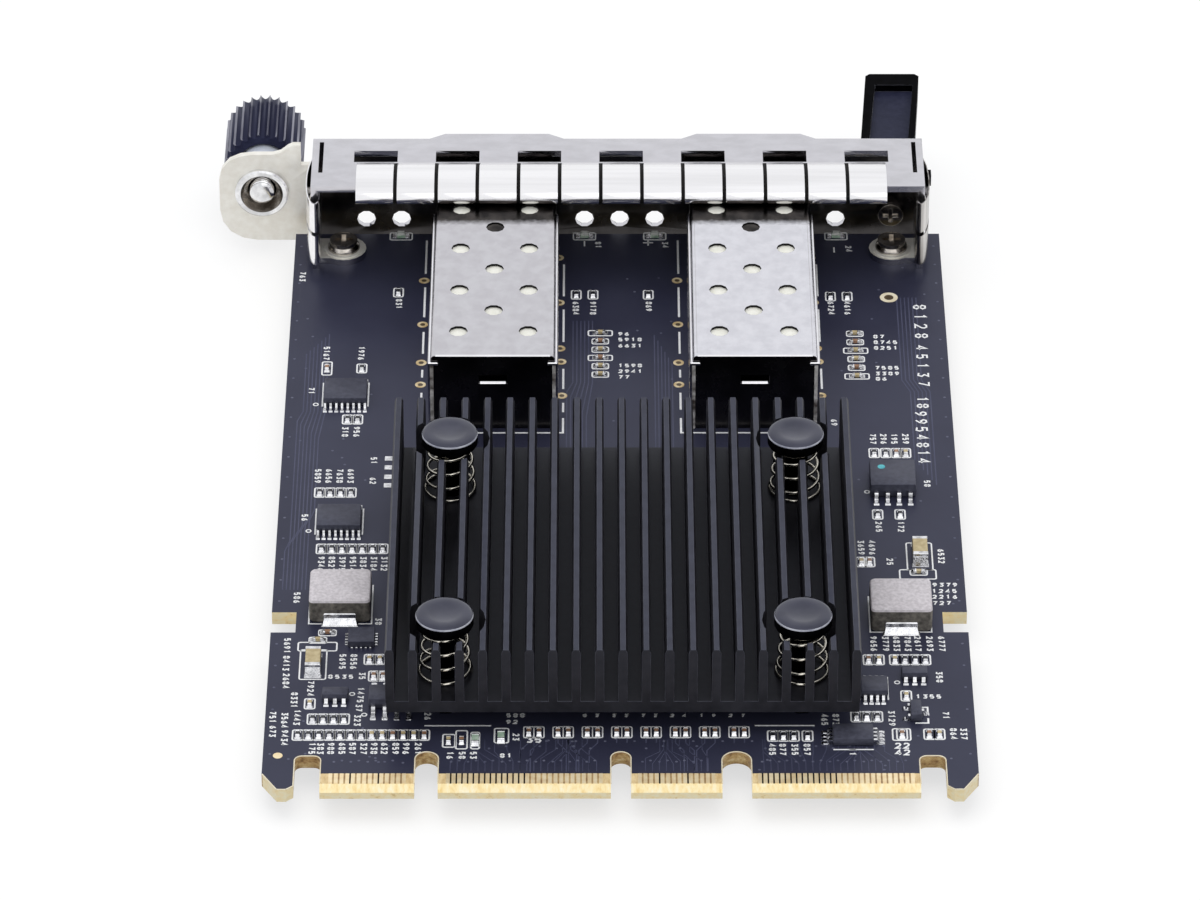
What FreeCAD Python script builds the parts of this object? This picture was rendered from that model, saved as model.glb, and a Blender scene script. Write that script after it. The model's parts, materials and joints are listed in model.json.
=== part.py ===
import FreeCAD, Part
import math
import os

# Dual-port mezzanine network card. Working frame: X across the board, Y from the card edge
# towards the faceplate, Z up from the component face (Z = 0 is the board's top face).
# origin_x/y/z move every finished piece so that the base centre of the whole card is at zero.

V = FreeCAD.Vector
doc = FreeCAD.newDocument("network_card")
sheet = doc.addObject("Spreadsheet::Sheet", "dims")
row = 0
val = {}


def dim(alias, value, note):
    global row
    row += 1
    sheet.set("A%d" % row, str(value))
    sheet.setAlias("A%d" % row, alias)
    sheet.set("B%d" % row, note)
    val[alias] = float(value)


# placing
dim("origin_x", 4.5, "shift to the base centre")
dim("origin_y", -66.5, "shift to the base centre")
dim("origin_z", 4.0, "shift to the base centre")
# board
dim("board_w", 76.0, "board width")
dim("board_l", 110.0, "board end, measured from the card edge")
dim("board_t", 1.57, "board thickness")
dim("ear_reach", 0.4, "reach of the tongue and the two ears in front of the origin line")
dim("finger_half", 31.8, "half width of the card-edge tongue")
dim("notch_out", 34.6, "outer wall of the end notches")
dim("notch_top", 5.65, "depth of the end notches")
dim("notch_r", 0.8, "corner radius of the end notches")
dim("slot_top", 6.38, "depth of the key slots")
dim("side_notch_in", 35.3, "inner wall of the side notches")
dim("side_notch_lo", 28.4, "front of the side notches")
dim("side_notch_w", 3.8, "width of the side notches")
dim("bevel_run", 1.1, "card-edge bevel, along the board")
dim("bevel_deep", 0.4, "card-edge bevel, through the board")
dim("contact_w", 0.4, "gold finger width")
dim("contact_pitch", 0.6, "gold finger pitch")
dim("contact_l", 1.8, "gold finger length")
dim("contact_t", 0.03, "gold finger thickness")
# port cages
dim("port_left", -14.2, "left cage centre")
dim("port_right", 15.4, "right cage centre")
dim("cage_w", 14.0, "cage width")
dim("cage_h", 9.8, "cage height")
dim("cage_l", 45.9, "cage length")
dim("cage_rear", 68.5, "cage rear wall")
dim("cage_wall", 0.3, "cage sheet thickness")
dim("cage_round", 0.45, "outer radius of the two roof folds")
dim("vent_r", 1.05, "radius of the roof vents")
dim("vent_side", 3.95, "paired vents, from the cage centre line")
dim("floor_from", 84.0, "where the cage floor starts")
# heatsink
dim("sink_x", 0.3, "heatsink centre, across")
dim("sink_y", 9.3, "heatsink front")
dim("sink_w", 50.4, "heatsink width")
dim("sink_l", 48.6, "heatsink length")
dim("sink_z", 3.1, "heatsink underside above the board")
dim("sink_base", 1.4, "heatsink base thickness")
dim("sink_top", 11.2, "fin tips above the board")
dim("fin_pitch", 2.48, "fin pitch")
dim("fin_t", 0.95, "fin thickness at the root")
dim("fin_tip", 0.56, "flat left between the two chamfers of a fin tip")
dim("fins", 21, "number of fins")
dim("pin_clear", 4.4, "radius of the round clearances in the fins")
# push pins
dim("pin_left", -18.7, "push pins, left pair")
dim("pin_right", 19.5, "push pins, right pair")
dim("pin_front", 14.9, "push pins, front pair")
dim("pin_back", 49.7, "push pins, back pair")
dim("pin_head_r", 3.1, "push pin head radius")
dim("pin_top", 12.2, "push pin top above the board")
dim("pin_stem_r", 1.4, "push pin stem radius")
dim("pin_hole_r", 1.65, "hole for a push pin stem, across its corners")
dim("hole_sides", 10, "sides of small holes and stems, which keeps the facet count down")
dim("bar_sides", 20, "sides of turned parts and their bores, for the same reason")
# bracket
dim("plate_y", 112.2, "inner face of the faceplate")
dim("sheet_t", 0.8, "bracket sheet thickness")
dim("plate_half", 35.8, "half width of the faceplate")
dim("flange_top", 11.35, "upper face of the top flange")
dim("flange_front", 102.3, "free edge of the flanges")
dim("slot_w", 5.1, "flange slot width")
dim("slot_d", 2.5, "flange slot depth")
dim("slit_w", 0.5, "slit between the top flange and each side flange")
dim("slit_from", 105.4, "near end of those slits")
dim("finger_pitch", 4.79, "spring finger pitch")
dim("finger_w", 4.35, "spring finger width")
dim("first_finger", -28.33, "first spring finger centre")
dim("window_r", 1.1, "indicator window radius")
dim("window_z", 0.75, "indicator window height")
dim("lug_x", 32.2, "screw lug centre, across")
dim("lug_y", 105.6, "screw lug centre, along")
dim("lug_r", 2.65, "screw lug radius")
dim("plate_low", 4.0, "faceplate lower edge below the board's top face")
# thumbscrew
dim("thumb_x", -42.0, "thumbscrew axis, across")
dim("thumb_z", 4.5, "thumbscrew axis, height")
dim("knob_r", 4.75, "knob radius over the flutes")
dim("knob_root", 4.35, "knob radius at the flute roots")
dim("knob_y", 117.8, "knob near face")
dim("knob_l", 9.0, "knob length")
dim("flutes", 26, "number of flutes")
dim("sleeve_r", 2.85, "ferrule barrel radius")
dim("screw_r", 1.43, "thumbscrew shank radius")
# pull tab
dim("tab_x", 31.85, "pull tab centre at the faceplate")
dim("tab_w", 6.4, "pull tab width")
dim("tab_end", 133.4, "pull tab far end")
dim("tab_top", 8.0, "pull tab upper face")
dim("tab_lean", 1.2, "sideways lean of the far end")
# small parts
dim("chip_l", 1.0, "small two-terminal part, length")
dim("chip_w", 0.5, "small two-terminal part, width")
dim("chip_h", 0.4, "small two-terminal part, height")
doc.recompute()

pieces = []


def bind(obj, prop, value):
    if isinstance(value, str):
        obj.setExpression(prop, value)
    else:
        owner = obj
        *path, last = prop.split(".")
        for step in path:
            owner = getattr(owner, step)
        setattr(owner, last, value)


def place(obj, x, y, z, rotation=None):
    if rotation is not None:
        obj.Placement = FreeCAD.Placement(V(0, 0, 0), rotation)
    for prop, value in (("x", x), ("y", y), ("z", z)):
        bind(obj, "Placement.Base." + prop, value if isinstance(value, str) else repr(float(value)))
    return obj


def box(name, x, y, z, w, d, h, rotation=None):
    obj = doc.addObject("Part::Box", name)
    bind(obj, "Length", w)
    bind(obj, "Width", d)
    bind(obj, "Height", h)
    return place(obj, x, y, z, rotation)


ALONG_Y = FreeCAD.Rotation(V(1, 0, 0), -90)


def rod(name, x, y, z, r, h, rotation=None):
    obj = doc.addObject("Part::Cylinder", name)
    bind(obj, "Radius", r)
    bind(obj, "Height", h)
    return place(obj, x, y, z, rotation)


def prism(sides, name, x, y, z, r, h, rotation=None):
    """A regular prism whose corners touch a circle of radius r."""
    obj = doc.addObject("Part::Prism", name)
    obj.Polygon = int(val[sides])
    bind(obj, "Circumradius", r)
    bind(obj, "Height", h)
    return place(obj, x, y, z, rotation)


def hole(*size):
    """Cutter for a small through hole, or a thin stem."""
    return prism("hole_sides", *size)


def bar(*size):
    """A turned bar or disc, or the cutter for its bore."""
    return prism("bar_sides", *size)


def fuse(name, shapes):
    obj = doc.addObject("Part::MultiFuse", name)
    obj.Shapes = shapes
    return obj


def cut(name, base, tools):
    obj = doc.addObject("Part::Cut", name)
    obj.Base = base
    obj.Tool = tools[0] if len(tools) == 1 else fuse(name + "_tools", tools)
    return obj


def group(name, shapes):
    obj = doc.addObject("Part::Compound", name)
    obj.Links = shapes
    return obj


def finish(obj, label):
    obj.Label = label
    for axis in "xyz":
        obj.setExpression("Placement.Base." + axis, "dims.origin_" + axis)
    pieces.append(obj)
    return obj


def outline(sketch, points):
    count = len(points)
    for i in range(count):
        a, b = points[i], points[(i + 1) % count]
        sketch.addGeometry(Part.LineSegment(V(a[0], a[1], 0), V(b[0], b[1], 0)), False)
    for i in range(count):
        sketch.addConstraint(Sketcher.Constraint("Coincident", i, 2, (i + 1) % count, 1))


def padded(name, plane, points, length, start):
    """A body with one padded outline; start is the offset along the plane's normal."""
    body = doc.addObject("PartDesign::Body", name)
    sketch = body.newObject("Sketcher::SketchObject", name + "_sketch")
    sketch.AttachmentSupport = [(body.Origin.OriginFeatures[plane], "")]
    sketch.MapMode = "FlatFace"
    bind(sketch, "AttachmentOffset.Base.z", start if isinstance(start, str) else repr(float(start)))
    outline(sketch, points)
    pad = body.newObject("PartDesign::Pad", name + "_pad")
    pad.Profile = sketch
    bind(pad, "Length", length)
    sketch.Visibility = False
    body.Tip = pad
    return body, sketch, pad


import Sketcher  # noqa: E402  (the sketch constraints live here)

XY, XZ, YZ = 3, 4, 5
X_AXIS = 0

# ---------------------------------------------------------------- board
W, L, T = "dims.board_w", "dims.board_l", "dims.board_t"
blank = box("board_blank", "-dims.board_w/2", "-dims.ear_reach", "-dims.board_t",
            W, "dims.board_l + dims.ear_reach", T)
tools = []
for side, left, right in (("l", "-dims.notch_out", "-dims.finger_half"),
                          ("r", "dims.finger_half", "dims.notch_out")):
    tools.append(box("end_notch_" + side, left, -2, -3, "dims.notch_out - dims.finger_half",
                     "dims.notch_top - dims.notch_r + 2", 5))
    tools.append(box("end_notch_head_" + side, left + " + dims.notch_r", -2, -3,
                     "dims.notch_out - dims.finger_half - 2*dims.notch_r", "dims.notch_top + 2", 5))
    for end, x in (("out", left + " + dims.notch_r"), ("in", right + " - dims.notch_r")):
        tools.append(bar("end_notch_%s_%s" % (side, end), x, "dims.notch_top - dims.notch_r", -3,
                         "dims.notch_r", 5))
for i, (low, high) in enumerate(((-21.8, -19.3), (-1.0, 1.15), (10.8, 13.95))):
    wide = high - low
    tools.append(box("key_%d" % i, low, -2, -3, wide, "dims.slot_top + 2 - %g" % (wide / 2), 5))
    tools.append(rod("key_end_%d" % i, (low + high) / 2, "dims.slot_top - %g" % (wide / 2),
                     -3, wide / 2, 5))
for side, left in (("l", "-dims.side_notch_in - 4"), ("r", "dims.side_notch_in")):
    tools.append(box("side_notch_" + side, left, "dims.side_notch_lo", -3,
                     4, "dims.side_notch_w", 5))


def corner(name, x0, y0, x1, y1):
    """Cutter whose near side lies on the line from the first point to the second."""
    angle = math.degrees(math.atan2(y1 - y0, x1 - x0))
    run = math.hypot(x1 - x0, y1 - y0)
    return box(name, x0, y0, -3, run + 0.4, 3, 5, FreeCAD.Rotation(V(0, 0, 1), angle))


tools.append(corner("ear_out_r", 38.0, 2.4, 36.3, -0.45))
tools.append(corner("ear_out_l", -36.3, -0.45, -38.0, 2.4))
tools.append(corner("ear_in_r", 35.4, -0.45, 34.55, 0.35))
tools.append(corner("ear_in_l", -34.55, 0.35, -35.4, -0.45))
tilt = math.atan2(val["bevel_deep"], val["bevel_run"])
drop = 1.5
tools.append(box("bevel_top", -32.3, "-dims.ear_reach", "-dims.bevel_deep", 64.6, 2, drop,
                 FreeCAD.Rotation(V(1, 0, 0), math.degrees(tilt))))
tools.append(box("bevel_under", -32.3, "-dims.ear_reach - %g" % (drop * math.sin(tilt)),
                 "-dims.board_t + dims.bevel_deep - %g" % (drop * math.cos(tilt)), 64.6, 2, drop,
                 FreeCAD.Rotation(V(1, 0, 0), -math.degrees(tilt))))
pin_spots = [(x, y) for y in ("dims.pin_front", "dims.pin_back")
             for x in ("dims.pin_left", "dims.pin_right")]
for i, (x, y) in enumerate(pin_spots):
    tools.append(hole("board_pin_%d" % i, x, y, -3, "dims.pin_hole_r", 5))
for i, x in enumerate(("-dims.lug_x", "dims.lug_x")):
    tools.append(hole("board_screw_%d" % i, x, "dims.lug_y", -3, 1.35, 5))
leg_y = (73.0, 86.0, 99.0)
for c, port in enumerate(("dims.port_left", "dims.port_right")):
    for j, y in enumerate(leg_y):
        for s in (-1, 1):
            tools.append(box("leg_slot_%d_%d_%d" % (c, j, s + 1), "%s + %d*6.85 - 0.3" % (port, s),
                             y - 0.55, -3, 0.6, 1.1, 5))
finish(cut("pcb", blank, tools), "pcb")

# gold fingers, fourteen and twenty-eight wide in turn
banks = ((-26.8, 14), (-10.15, 28), (5.97, 14), (22.87, 28))
for face, z in (("top", "0"), ("bottom", "-dims.board_t - dims.contact_t")):
    pads = []
    for b, (centre, count) in enumerate(banks):
        for i in range(count):
            step = i - (count - 1) / 2
            pads.append(box("contact_%s_%d_%d" % (face, b, i),
                            "%g + %g*dims.contact_pitch - dims.contact_w/2" % (centre, step),
                            "dims.bevel_run - dims.ear_reach", z, "dims.contact_w", "dims.contact_l",
                            "dims.contact_t"))
    finish(group("edge_contacts_" + face, pads), "edge_contacts_" + face)

# ---------------------------------------------------------------- port cages
vent_pairs = (5.2, 13.9, 22.8, 31.3)
vent_single = (9.6, 18.4, 27.4)


def cage(label, port):
    body = box(label + "_skin", port + " - dims.cage_w/2", "dims.cage_rear", 0,
               "dims.cage_w", "dims.cage_l", "dims.cage_h")
    doc.recompute()
    folds = []
    for i, edge in enumerate(body.Shape.Edges, 1):
        ends = [v.Point for v in edge.Vertexes]
        if all(abs(p.z - val["cage_h"]) < 1e-6 for p in ends) and abs(ends[0].x - ends[1].x) < 1e-6:
            folds.append((i, val["cage_round"], val["cage_round"]))
    rounded = doc.addObject("Part::Fillet", label + "_rounded")
    rounded.Base = body
    rounded.Edges = folds
    wall = "dims.cage_wall"
    holes = [box(label + "_hollow", "%s - dims.cage_w/2 + %s" % (port, wall),
                 "dims.cage_rear + " + wall, -1, "dims.cage_w - 2*" + wall, "dims.cage_l",
                 "dims.cage_h + 1 - " + wall),
             box(label + "_latch", port + " - 1.6", "dims.cage_rear - 1", 6.1, 3.2, 2, 1.1)]
    spots = [(s, y) for y in vent_pairs for s in ("-dims.vent_side", "+dims.vent_side")]
    spots += [("", y) for y in vent_single]
    for i, (across, along) in enumerate(spots):
        holes.append(hole("%s_vent_%d" % (label, i), port + across, "dims.cage_rear + %g" % along,
                          "dims.cage_h - 1", "dims.vent_r", 2))
    shell = cut(label + "_shell", rounded, holes)
    solids = [shell, box(label + "_floor", "%s - dims.cage_w/2 + 0.1" % port, "dims.floor_from", 0,
                         "dims.cage_w - 0.2", "dims.cage_rear + dims.cage_l - dims.floor_from", wall)]
    for j, y in enumerate(leg_y):
        for s in (-1, 1):
            solids.append(box("%s_leg_%d_%d" % (label, j, s + 1), "%s + %d*6.85 - 0.15" % (port, s),
                              y - 0.4, -2.2, wall, 0.8, 2.4))
    finish(fuse(label, solids), label)


def receptacle(label, port):
    block = box(label + "_block", port + " - 5.6", 71, 0, 11.2, 12, 8.4)
    slot = box(label + "_slot", port + " - 4.8", 76, 4.2, 9.6, 8, 1.3)
    step = box(label + "_step", port + " - 6", 79, 7.0, 12, 5, 2)
    finish(cut(label, block, [slot, step]), label)


cage("cage_left", "dims.port_left")
cage("cage_right", "dims.port_right")
receptacle("connector_left", "dims.port_left")
receptacle("connector_right", "dims.port_right")

# ---------------------------------------------------------------- heatsink
base_top = val["sink_z"] + val["sink_base"]
half, tip, top = val["fin_t"] / 2, val["fin_tip"] / 2, val["sink_top"]
first = val["sink_x"] - val["fin_pitch"] * (val["fins"] - 1) / 2
profile = [(first - half, base_top - 0.2), (first + half, base_top - 0.2), (first + half, top - 0.45),
           (first + tip, top), (first - tip, top), (first - half, top - 0.45)]
fin_body, fin_sketch, fin_pad = padded("fins", XZ, profile, "dims.sink_l", "-dims.sink_y")
fin_pad.Reversed = True
rows = fin_body.newObject("PartDesign::LinearPattern", "fin_rows")
rows.Originals = [fin_pad]
rows.Direction = (fin_body.Origin.OriginFeatures[X_AXIS], [""])
rows.setExpression("Length", "dims.fin_pitch*(dims.fins - 1)")
rows.setExpression("Occurrences", "dims.fins")
fin_body.Tip = rows
sink_plate = box("sink_plate", "dims.sink_x - dims.sink_w/2", "dims.sink_y", "dims.sink_z",
                 "dims.sink_w", "dims.sink_l", "dims.sink_base")
sink_block = fuse("sink_block", [sink_plate, fin_body])
tools = []
for i, (x, y) in enumerate(pin_spots):
    tools.append(bar("fin_clear_%d" % i, x, y, "dims.sink_z + dims.sink_base", "dims.pin_clear", 9))
    tools.append(hole("sink_pin_%d" % i, x, y, "dims.sink_z - 1", "dims.pin_hole_r", 4))
finish(cut("heatsink", sink_block, tools), "heatsink")

# chip and pad under the heatsink
chip_x, chip_y = 0.3, 32.3
finish(fuse("controller_chip", [
    box("chip_balls", chip_x - 11.5, chip_y - 11.5, 0, 23, 23, 0.4),
    box("chip_carrier", chip_x - 12.5, chip_y - 12.5, 0.4, 25, 25, 0.7),
    box("chip_lid", chip_x - 10.5, chip_y - 10.5, 1.1, 21, 21, 1.4)]), "controller_chip")
finish(group("thermal_pad", [box("pad_block", chip_x - 10, chip_y - 10, 2.5, 20, 20,
                                 "dims.sink_z - 2.5")]), "thermal_pad")


# ---------------------------------------------------------------- push pins and springs
def push_pin(name, x, y):
    nose = doc.addObject("Part::Wedge", name + "_nose")
    for prop, value in (("Xmin", -1.75), ("Xmax", 1.75), ("Zmin", -1.75), ("Zmax", 1.75),
                        ("X2min", -0.9), ("X2max", 0.9), ("Z2min", -0.9), ("Z2max", 0.9),
                        ("Ymin", 0), ("Ymax", 2.4)):
        setattr(nose, prop, value)
    place(nose, x, y, -1.6, FreeCAD.Rotation(V(1, 0, 0), -90))
    parts = [bar(name + "_head", x, y, "dims.pin_top - 1.8", "dims.pin_head_r", 1.3),
             bar(name + "_crown", x, y, "dims.pin_top - 0.5", "dims.pin_head_r - 0.3", 0.5),
             hole(name + "_stem", x, y, -2.0, "dims.pin_stem_r", "dims.pin_top + 0.5"), nose]
    body = fuse(name + "_solid", parts)
    split = box(name + "_split", x + " - 0.25", y + " - 3", -5, 0.5, 6, 4.4)
    return cut(name, body, [split])


finish(group("push_pins", [push_pin("push_pin_%d" % i, x, y)
                           for i, (x, y) in enumerate(pin_spots)]), "push_pins")


def coil(x, y, low, high, r_low, r_high, wire, turns, per_turn):
    """A conical wire spring as a faceted solid with a three-sided wire section."""
    count = int(turns * per_turn)
    rings = []
    for i in range(count + 1):
        share = i / count
        angle = 2 * math.pi * turns * share
        r = r_low + (r_high - r_low) * share
        z = low + wire / 2 + (high - low - wire) * share
        rings.append([V(x + (r + a) * math.cos(angle), y + (r + a) * math.sin(angle), z + b)
                      for a, b in ((wire / 2, 0), (-wire / 2, wire / 2), (-wire / 2, -wire / 2))])
    faces = [Part.Face(Part.makePolygon(rings[0] + rings[0][:1])),
             Part.Face(Part.makePolygon(rings[-1] + rings[-1][:1]))]
    for a, b in zip(rings, rings[1:]):
        for k in range(3):
            n = (k + 1) % 3
            faces.append(Part.Face(Part.makePolygon([a[k], a[n], b[n], a[k]])))
            faces.append(Part.Face(Part.makePolygon([a[k], b[n], b[k], a[k]])))
    solid = Part.Solid(Part.Shell(faces))
    if solid.Volume < 0:
        solid.reverse()
    return solid


springs = doc.addObject("Part::Feature", "pin_springs")
springs.Shape = Part.makeCompound([
    coil(val[x[5:]], val[y[5:]], base_top, val["pin_top"] - 1.8, 2.85, 2.15, 0.36, 4.5, 8)
    for x, y in pin_spots])
finish(springs, "pin_springs")

# ---------------------------------------------------------------- bracket
t = "dims.sheet_t"
under = "dims.flange_top - dims.sheet_t"
depth = "dims.plate_y + dims.sheet_t - dims.flange_front"
solids = [
    box("faceplate", "-dims.plate_half", "dims.plate_y", "-dims.plate_low",
        "2*dims.plate_half", t, "dims.flange_top + dims.plate_low"),
    box("top_flange", "-dims.plate_half", "dims.flange_front", under, "2*dims.plate_half", depth, t),
    box("left_flange", "-dims.plate_half", "dims.flange_front", 0, t, depth, "dims.flange_top"),
    box("right_flange", "dims.plate_half - " + t, "dims.flange_front", 0, t, depth,
        "dims.flange_top")]
ear = [(-35.7, -2.2), (-42.6, -2.2), (-44.3, -1.9), (-45.8, -1.0), (-46.7, 0.4), (-47.0, 2.0),
       (-47.0, 6.2), (-46.6, 7.7), (-45.7, 8.8), (-44.4, 9.4), (-42.9, 9.6), (-40.6, 9.6),
       (-39.6, 9.9), (-38.8, 10.6), (-38.2, 10.9), (-37.3, 10.9), (-37.3, 8.2), (-35.7, 8.2)]
ear_body, ear_sketch, ear_pad = padded("ear", XZ, ear, t, "-dims.plate_y")
ear_pad.Reversed = True
solids.append(ear_body)
for name, side in (("l", -1), ("r", 1)):
    x = "%d*dims.lug_x" % side
    solids.append(bar("lug_disc_" + name, x, "dims.lug_y", 0, "dims.lug_r", t))
    low = "-dims.plate_half + 0.1" if side < 0 else "dims.lug_x"
    solids.append(box("lug_arm_" + name, low, "dims.lug_y - 2.2", 0,
                      "dims.plate_half - dims.lug_x - 0.1", 4.4, t))
for name, port in (("l", "dims.port_left"), ("r", "dims.port_right")):
    lip = doc.addObject("Part::Wedge", "lip_" + name)
    for prop, value in (("Xmin", -7.9), ("Xmax", 7.9), ("Ymin", 0), ("Ymax", 1.1), ("Zmin", 0),
                        ("Zmax", val["sheet_t"]), ("X2min", -6.1), ("X2max", 6.1), ("Z2min", 0),
                        ("Z2max", val["sheet_t"])):
        setattr(lip, prop, value)
    place(lip, port, "dims.plate_y + " + t, under)
    solids.append(lip)
tools = []
for i in range(7):
    tools.append(box("flange_slot_%d" % i,
                     "dims.first_finger + %d*dims.finger_pitch - dims.slot_w/2" % (2 * i),
                     109.0 - 1.25, 9, "dims.slot_w", "dims.slot_d", 4))
for side in (-1, 1):
    near_edge = "%d*(dims.plate_half - dims.sheet_t) %s" % (side, "" if side < 0 else "- dims.slit_w")
    tools.append(box("corner_slit_%d" % (side + 1), near_edge, "dims.slit_from", under + " - 0.1",
                     "dims.slit_w", "dims.plate_y - dims.slit_from", 2))
for i, x in enumerate((-29.7, -25.55, -3.9, 0.25, 4.4, 25.8)):
    tools.append(hole("window_%d" % i, x, "dims.plate_y - 1", "dims.window_z", "dims.window_r", 3,
                      ALONG_Y))
for i, port in enumerate(("dims.port_left", "dims.port_right")):
    tools.append(box("port_hole_%d" % i, port + " - 7.2", "dims.plate_y - 1", -0.2,
                     14.4, 3.5, 10.25))
    tools.append(hole("lug_hole_%d" % i, "%d*dims.lug_x" % (2 * i - 1), "dims.lug_y", -1, 1.35, 3))
tools.append(bar("ferrule_seat", "dims.thumb_x", "dims.plate_y - 1", "dims.thumb_z",
                 "dims.sleeve_r", 3, ALONG_Y))
tools.append(hole("tab_screw_hole", 32.3, "dims.plate_y - 1", 1.6, 1.05, 3, ALONG_Y))
finish(cut("bracket", fuse("bracket_sheet", solids), tools), "bracket")

# spring-finger strip clipped over the free edge of the top flange
clip_low, clip_high = 10.37, 10.53
spine = [(102.7, clip_low), (106.4, clip_low), (106.4, clip_high), (102.7, clip_high)]
strip_len = "12*dims.finger_pitch + dims.finger_w"
strip_from = "dims.first_finger - dims.finger_w/2"
strip, spine_sketch, spine_pad = padded("gasket_top", YZ, spine, strip_len, strip_from)
outer = [(101.9, 9.96), (100.6, 9.92), (100.15, 10.8), (101.0, 11.8), (103.9, 12.3), (107.5, 11.38)]
inner = [(107.3, 11.36), (103.9, 12.12), (101.1, 11.62), (100.38, 10.75), (100.72, 10.12),
         (101.85, 10.14)]
leaf = strip.newObject("Sketcher::SketchObject", "leaf_sketch")
leaf.AttachmentSupport = [(strip.Origin.OriginFeatures[YZ], "")]
leaf.MapMode = "FlatFace"
leaf.setExpression("AttachmentOffset.Base.z", strip_from)
outline(leaf, outer + inner + [(102.9, clip_high), (102.9, clip_low)])
leaf_pad = strip.newObject("PartDesign::Pad", "leaf_pad")
leaf_pad.Profile = leaf
leaf_pad.setExpression("Length", "dims.finger_w")
leaves = strip.newObject("PartDesign::LinearPattern", "leaves")
leaves.Originals = [leaf_pad]
leaves.Direction = (strip.Origin.OriginFeatures[X_AXIS], [""])
leaves.setExpression("Length", "12*dims.finger_pitch")
leaves.Occurrences = 13
strip.Tip = leaves
finish(strip, "gasket_top")

# side clips over the free edges of the side flanges
side_clip = [(35.83, 111.6), (36.3, 109.4), (36.55, 107.0), (36.5, 104.2), (36.1, 101.8),
             (35.4, 100.8), (34.85, 101.4), (34.75, 102.3), (34.75, 106.0), (34.92, 106.0),
             (34.92, 102.2), (35.02, 101.5), (35.4, 101.1), (35.92, 101.95), (36.32, 104.3),
             (36.38, 107.0), (36.12, 109.3), (35.83, 110.8)]
for label, side in (("gasket_left", -1), ("gasket_right", 1)):
    path = [(side * x, y) for x, y in side_clip]
    if side < 0:
        path.reverse()
    clip, clip_sketch, clip_pad = padded(label, XY, path, 8.4, 1.4)
    finish(clip, label)

# screws through the lugs
screws = []
for i, side in enumerate((-1, 1)):
    x = "%d*dims.lug_x" % side
    head = fuse("lug_screw_body_%d" % i, [
        bar("lug_screw_rim_%d" % i, x, "dims.lug_y", "dims.sheet_t", 1.85, 0.8),
        bar("lug_screw_top_%d" % i, x, "dims.lug_y", "dims.sheet_t + 0.8", 1.55, 0.5),
        hole("lug_screw_shank_%d" % i, x, "dims.lug_y", -2.4, 1.2, "dims.sheet_t + 2.9")])
    cross = [box("lug_screw_cross_%d_%d" % (i, k), x + " - %g" % (w / 2),
                 "dims.lug_y - %g" % (d / 2), "dims.sheet_t + 0.7", w, d, 2)
             for k, (w, d) in enumerate(((1.9, 0.45), (0.45, 1.9)))]
    screws.append(cut("lug_screw_%d" % i, head, cross))
finish(group("bracket_screws", screws), "bracket_screws")

# ---------------------------------------------------------------- thumbscrew
tx, tz = "dims.thumb_x", "dims.thumb_z"
sleeve = fuse("ferrule_solid", [
    bar("ferrule_barrel", tx, "dims.plate_y", tz, "dims.sleeve_r", 6.6, ALONG_Y),
    bar("ferrule_ring", tx, "dims.plate_y - 0.6", tz, 3.15, 0.6, ALONG_Y)])
finish(cut("ferrule", sleeve, [
    bar("ferrule_bore", tx, 111, tz, 1.65, 9, ALONG_Y),
    bar("ferrule_chamber", tx, 113.2, tz, 2.2, 4.6, ALONG_Y),
    bar("ferrule_sink", tx, 111, tz, 2.45, 1.5, ALONG_Y)]), "ferrule")
finish(cut("retaining_ring", bar("ring_disc", tx, 117.0, tz, 2.1, 0.6, ALONG_Y),
           [bar("ring_bore", tx, 116.5, tz, 1.48, 2, ALONG_Y)]), "retaining_ring")
shank = fuse("thumbscrew_solid", [
    rod("shank", tx, 112.2, tz, "dims.screw_r", "dims.knob_y - 104.7", ALONG_Y),
    bar("shank_tip", tx, 111.7, tz, 1.15, 0.5, ALONG_Y),
    bar("collar_back", tx, 117.66, tz, 1.58, 0.3, ALONG_Y),
    bar("collar_near", tx, 116.64, tz, 2.0, 0.3, ALONG_Y),
    bar("screw_head", tx, "dims.knob_y + 7.5", tz, 2.4, 1.2, ALONG_Y)])
recess = [box("head_slot_%d" % k, tx + " - %g" % (w / 2), "dims.knob_y + 7.9",
              tz + " - %g" % (h / 2), w, 2, h) for k, (w, h) in enumerate(((3.0, 0.6), (0.6, 3.0)))]
recess.append(box("tip_slot", tx + " - 2", 111, tz + " - 0.25", 4, 1.15, 0.5))
finish(cut("thumbscrew", shank, recess), "thumbscrew")
flute = []
for i in range(int(val["flutes"]) * 2):
    r = val["knob_r"] if i % 2 == 0 else val["knob_root"]
    a = math.pi * i / val["flutes"]
    flute.append((val["thumb_x"] + r * math.cos(a), val["thumb_z"] + r * math.sin(a)))
knob_body, knob_sketch, knob_pad = padded("knob_fluted", XZ, flute, "dims.knob_l", "-dims.knob_y")
knob_pad.Reversed = True
finish(cut("knob", knob_body, [
    bar("knob_bore", tx, 115, tz, 3.15, "dims.knob_y - 108.8", ALONG_Y),
    bar("knob_core", tx, 115, tz, "dims.screw_r / cos(180 / dims.bar_sides)", 12, ALONG_Y),
    bar("knob_seat", tx, "dims.knob_y + 7.5", tz, 2.4, 3, ALONG_Y)]), "knob")

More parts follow.
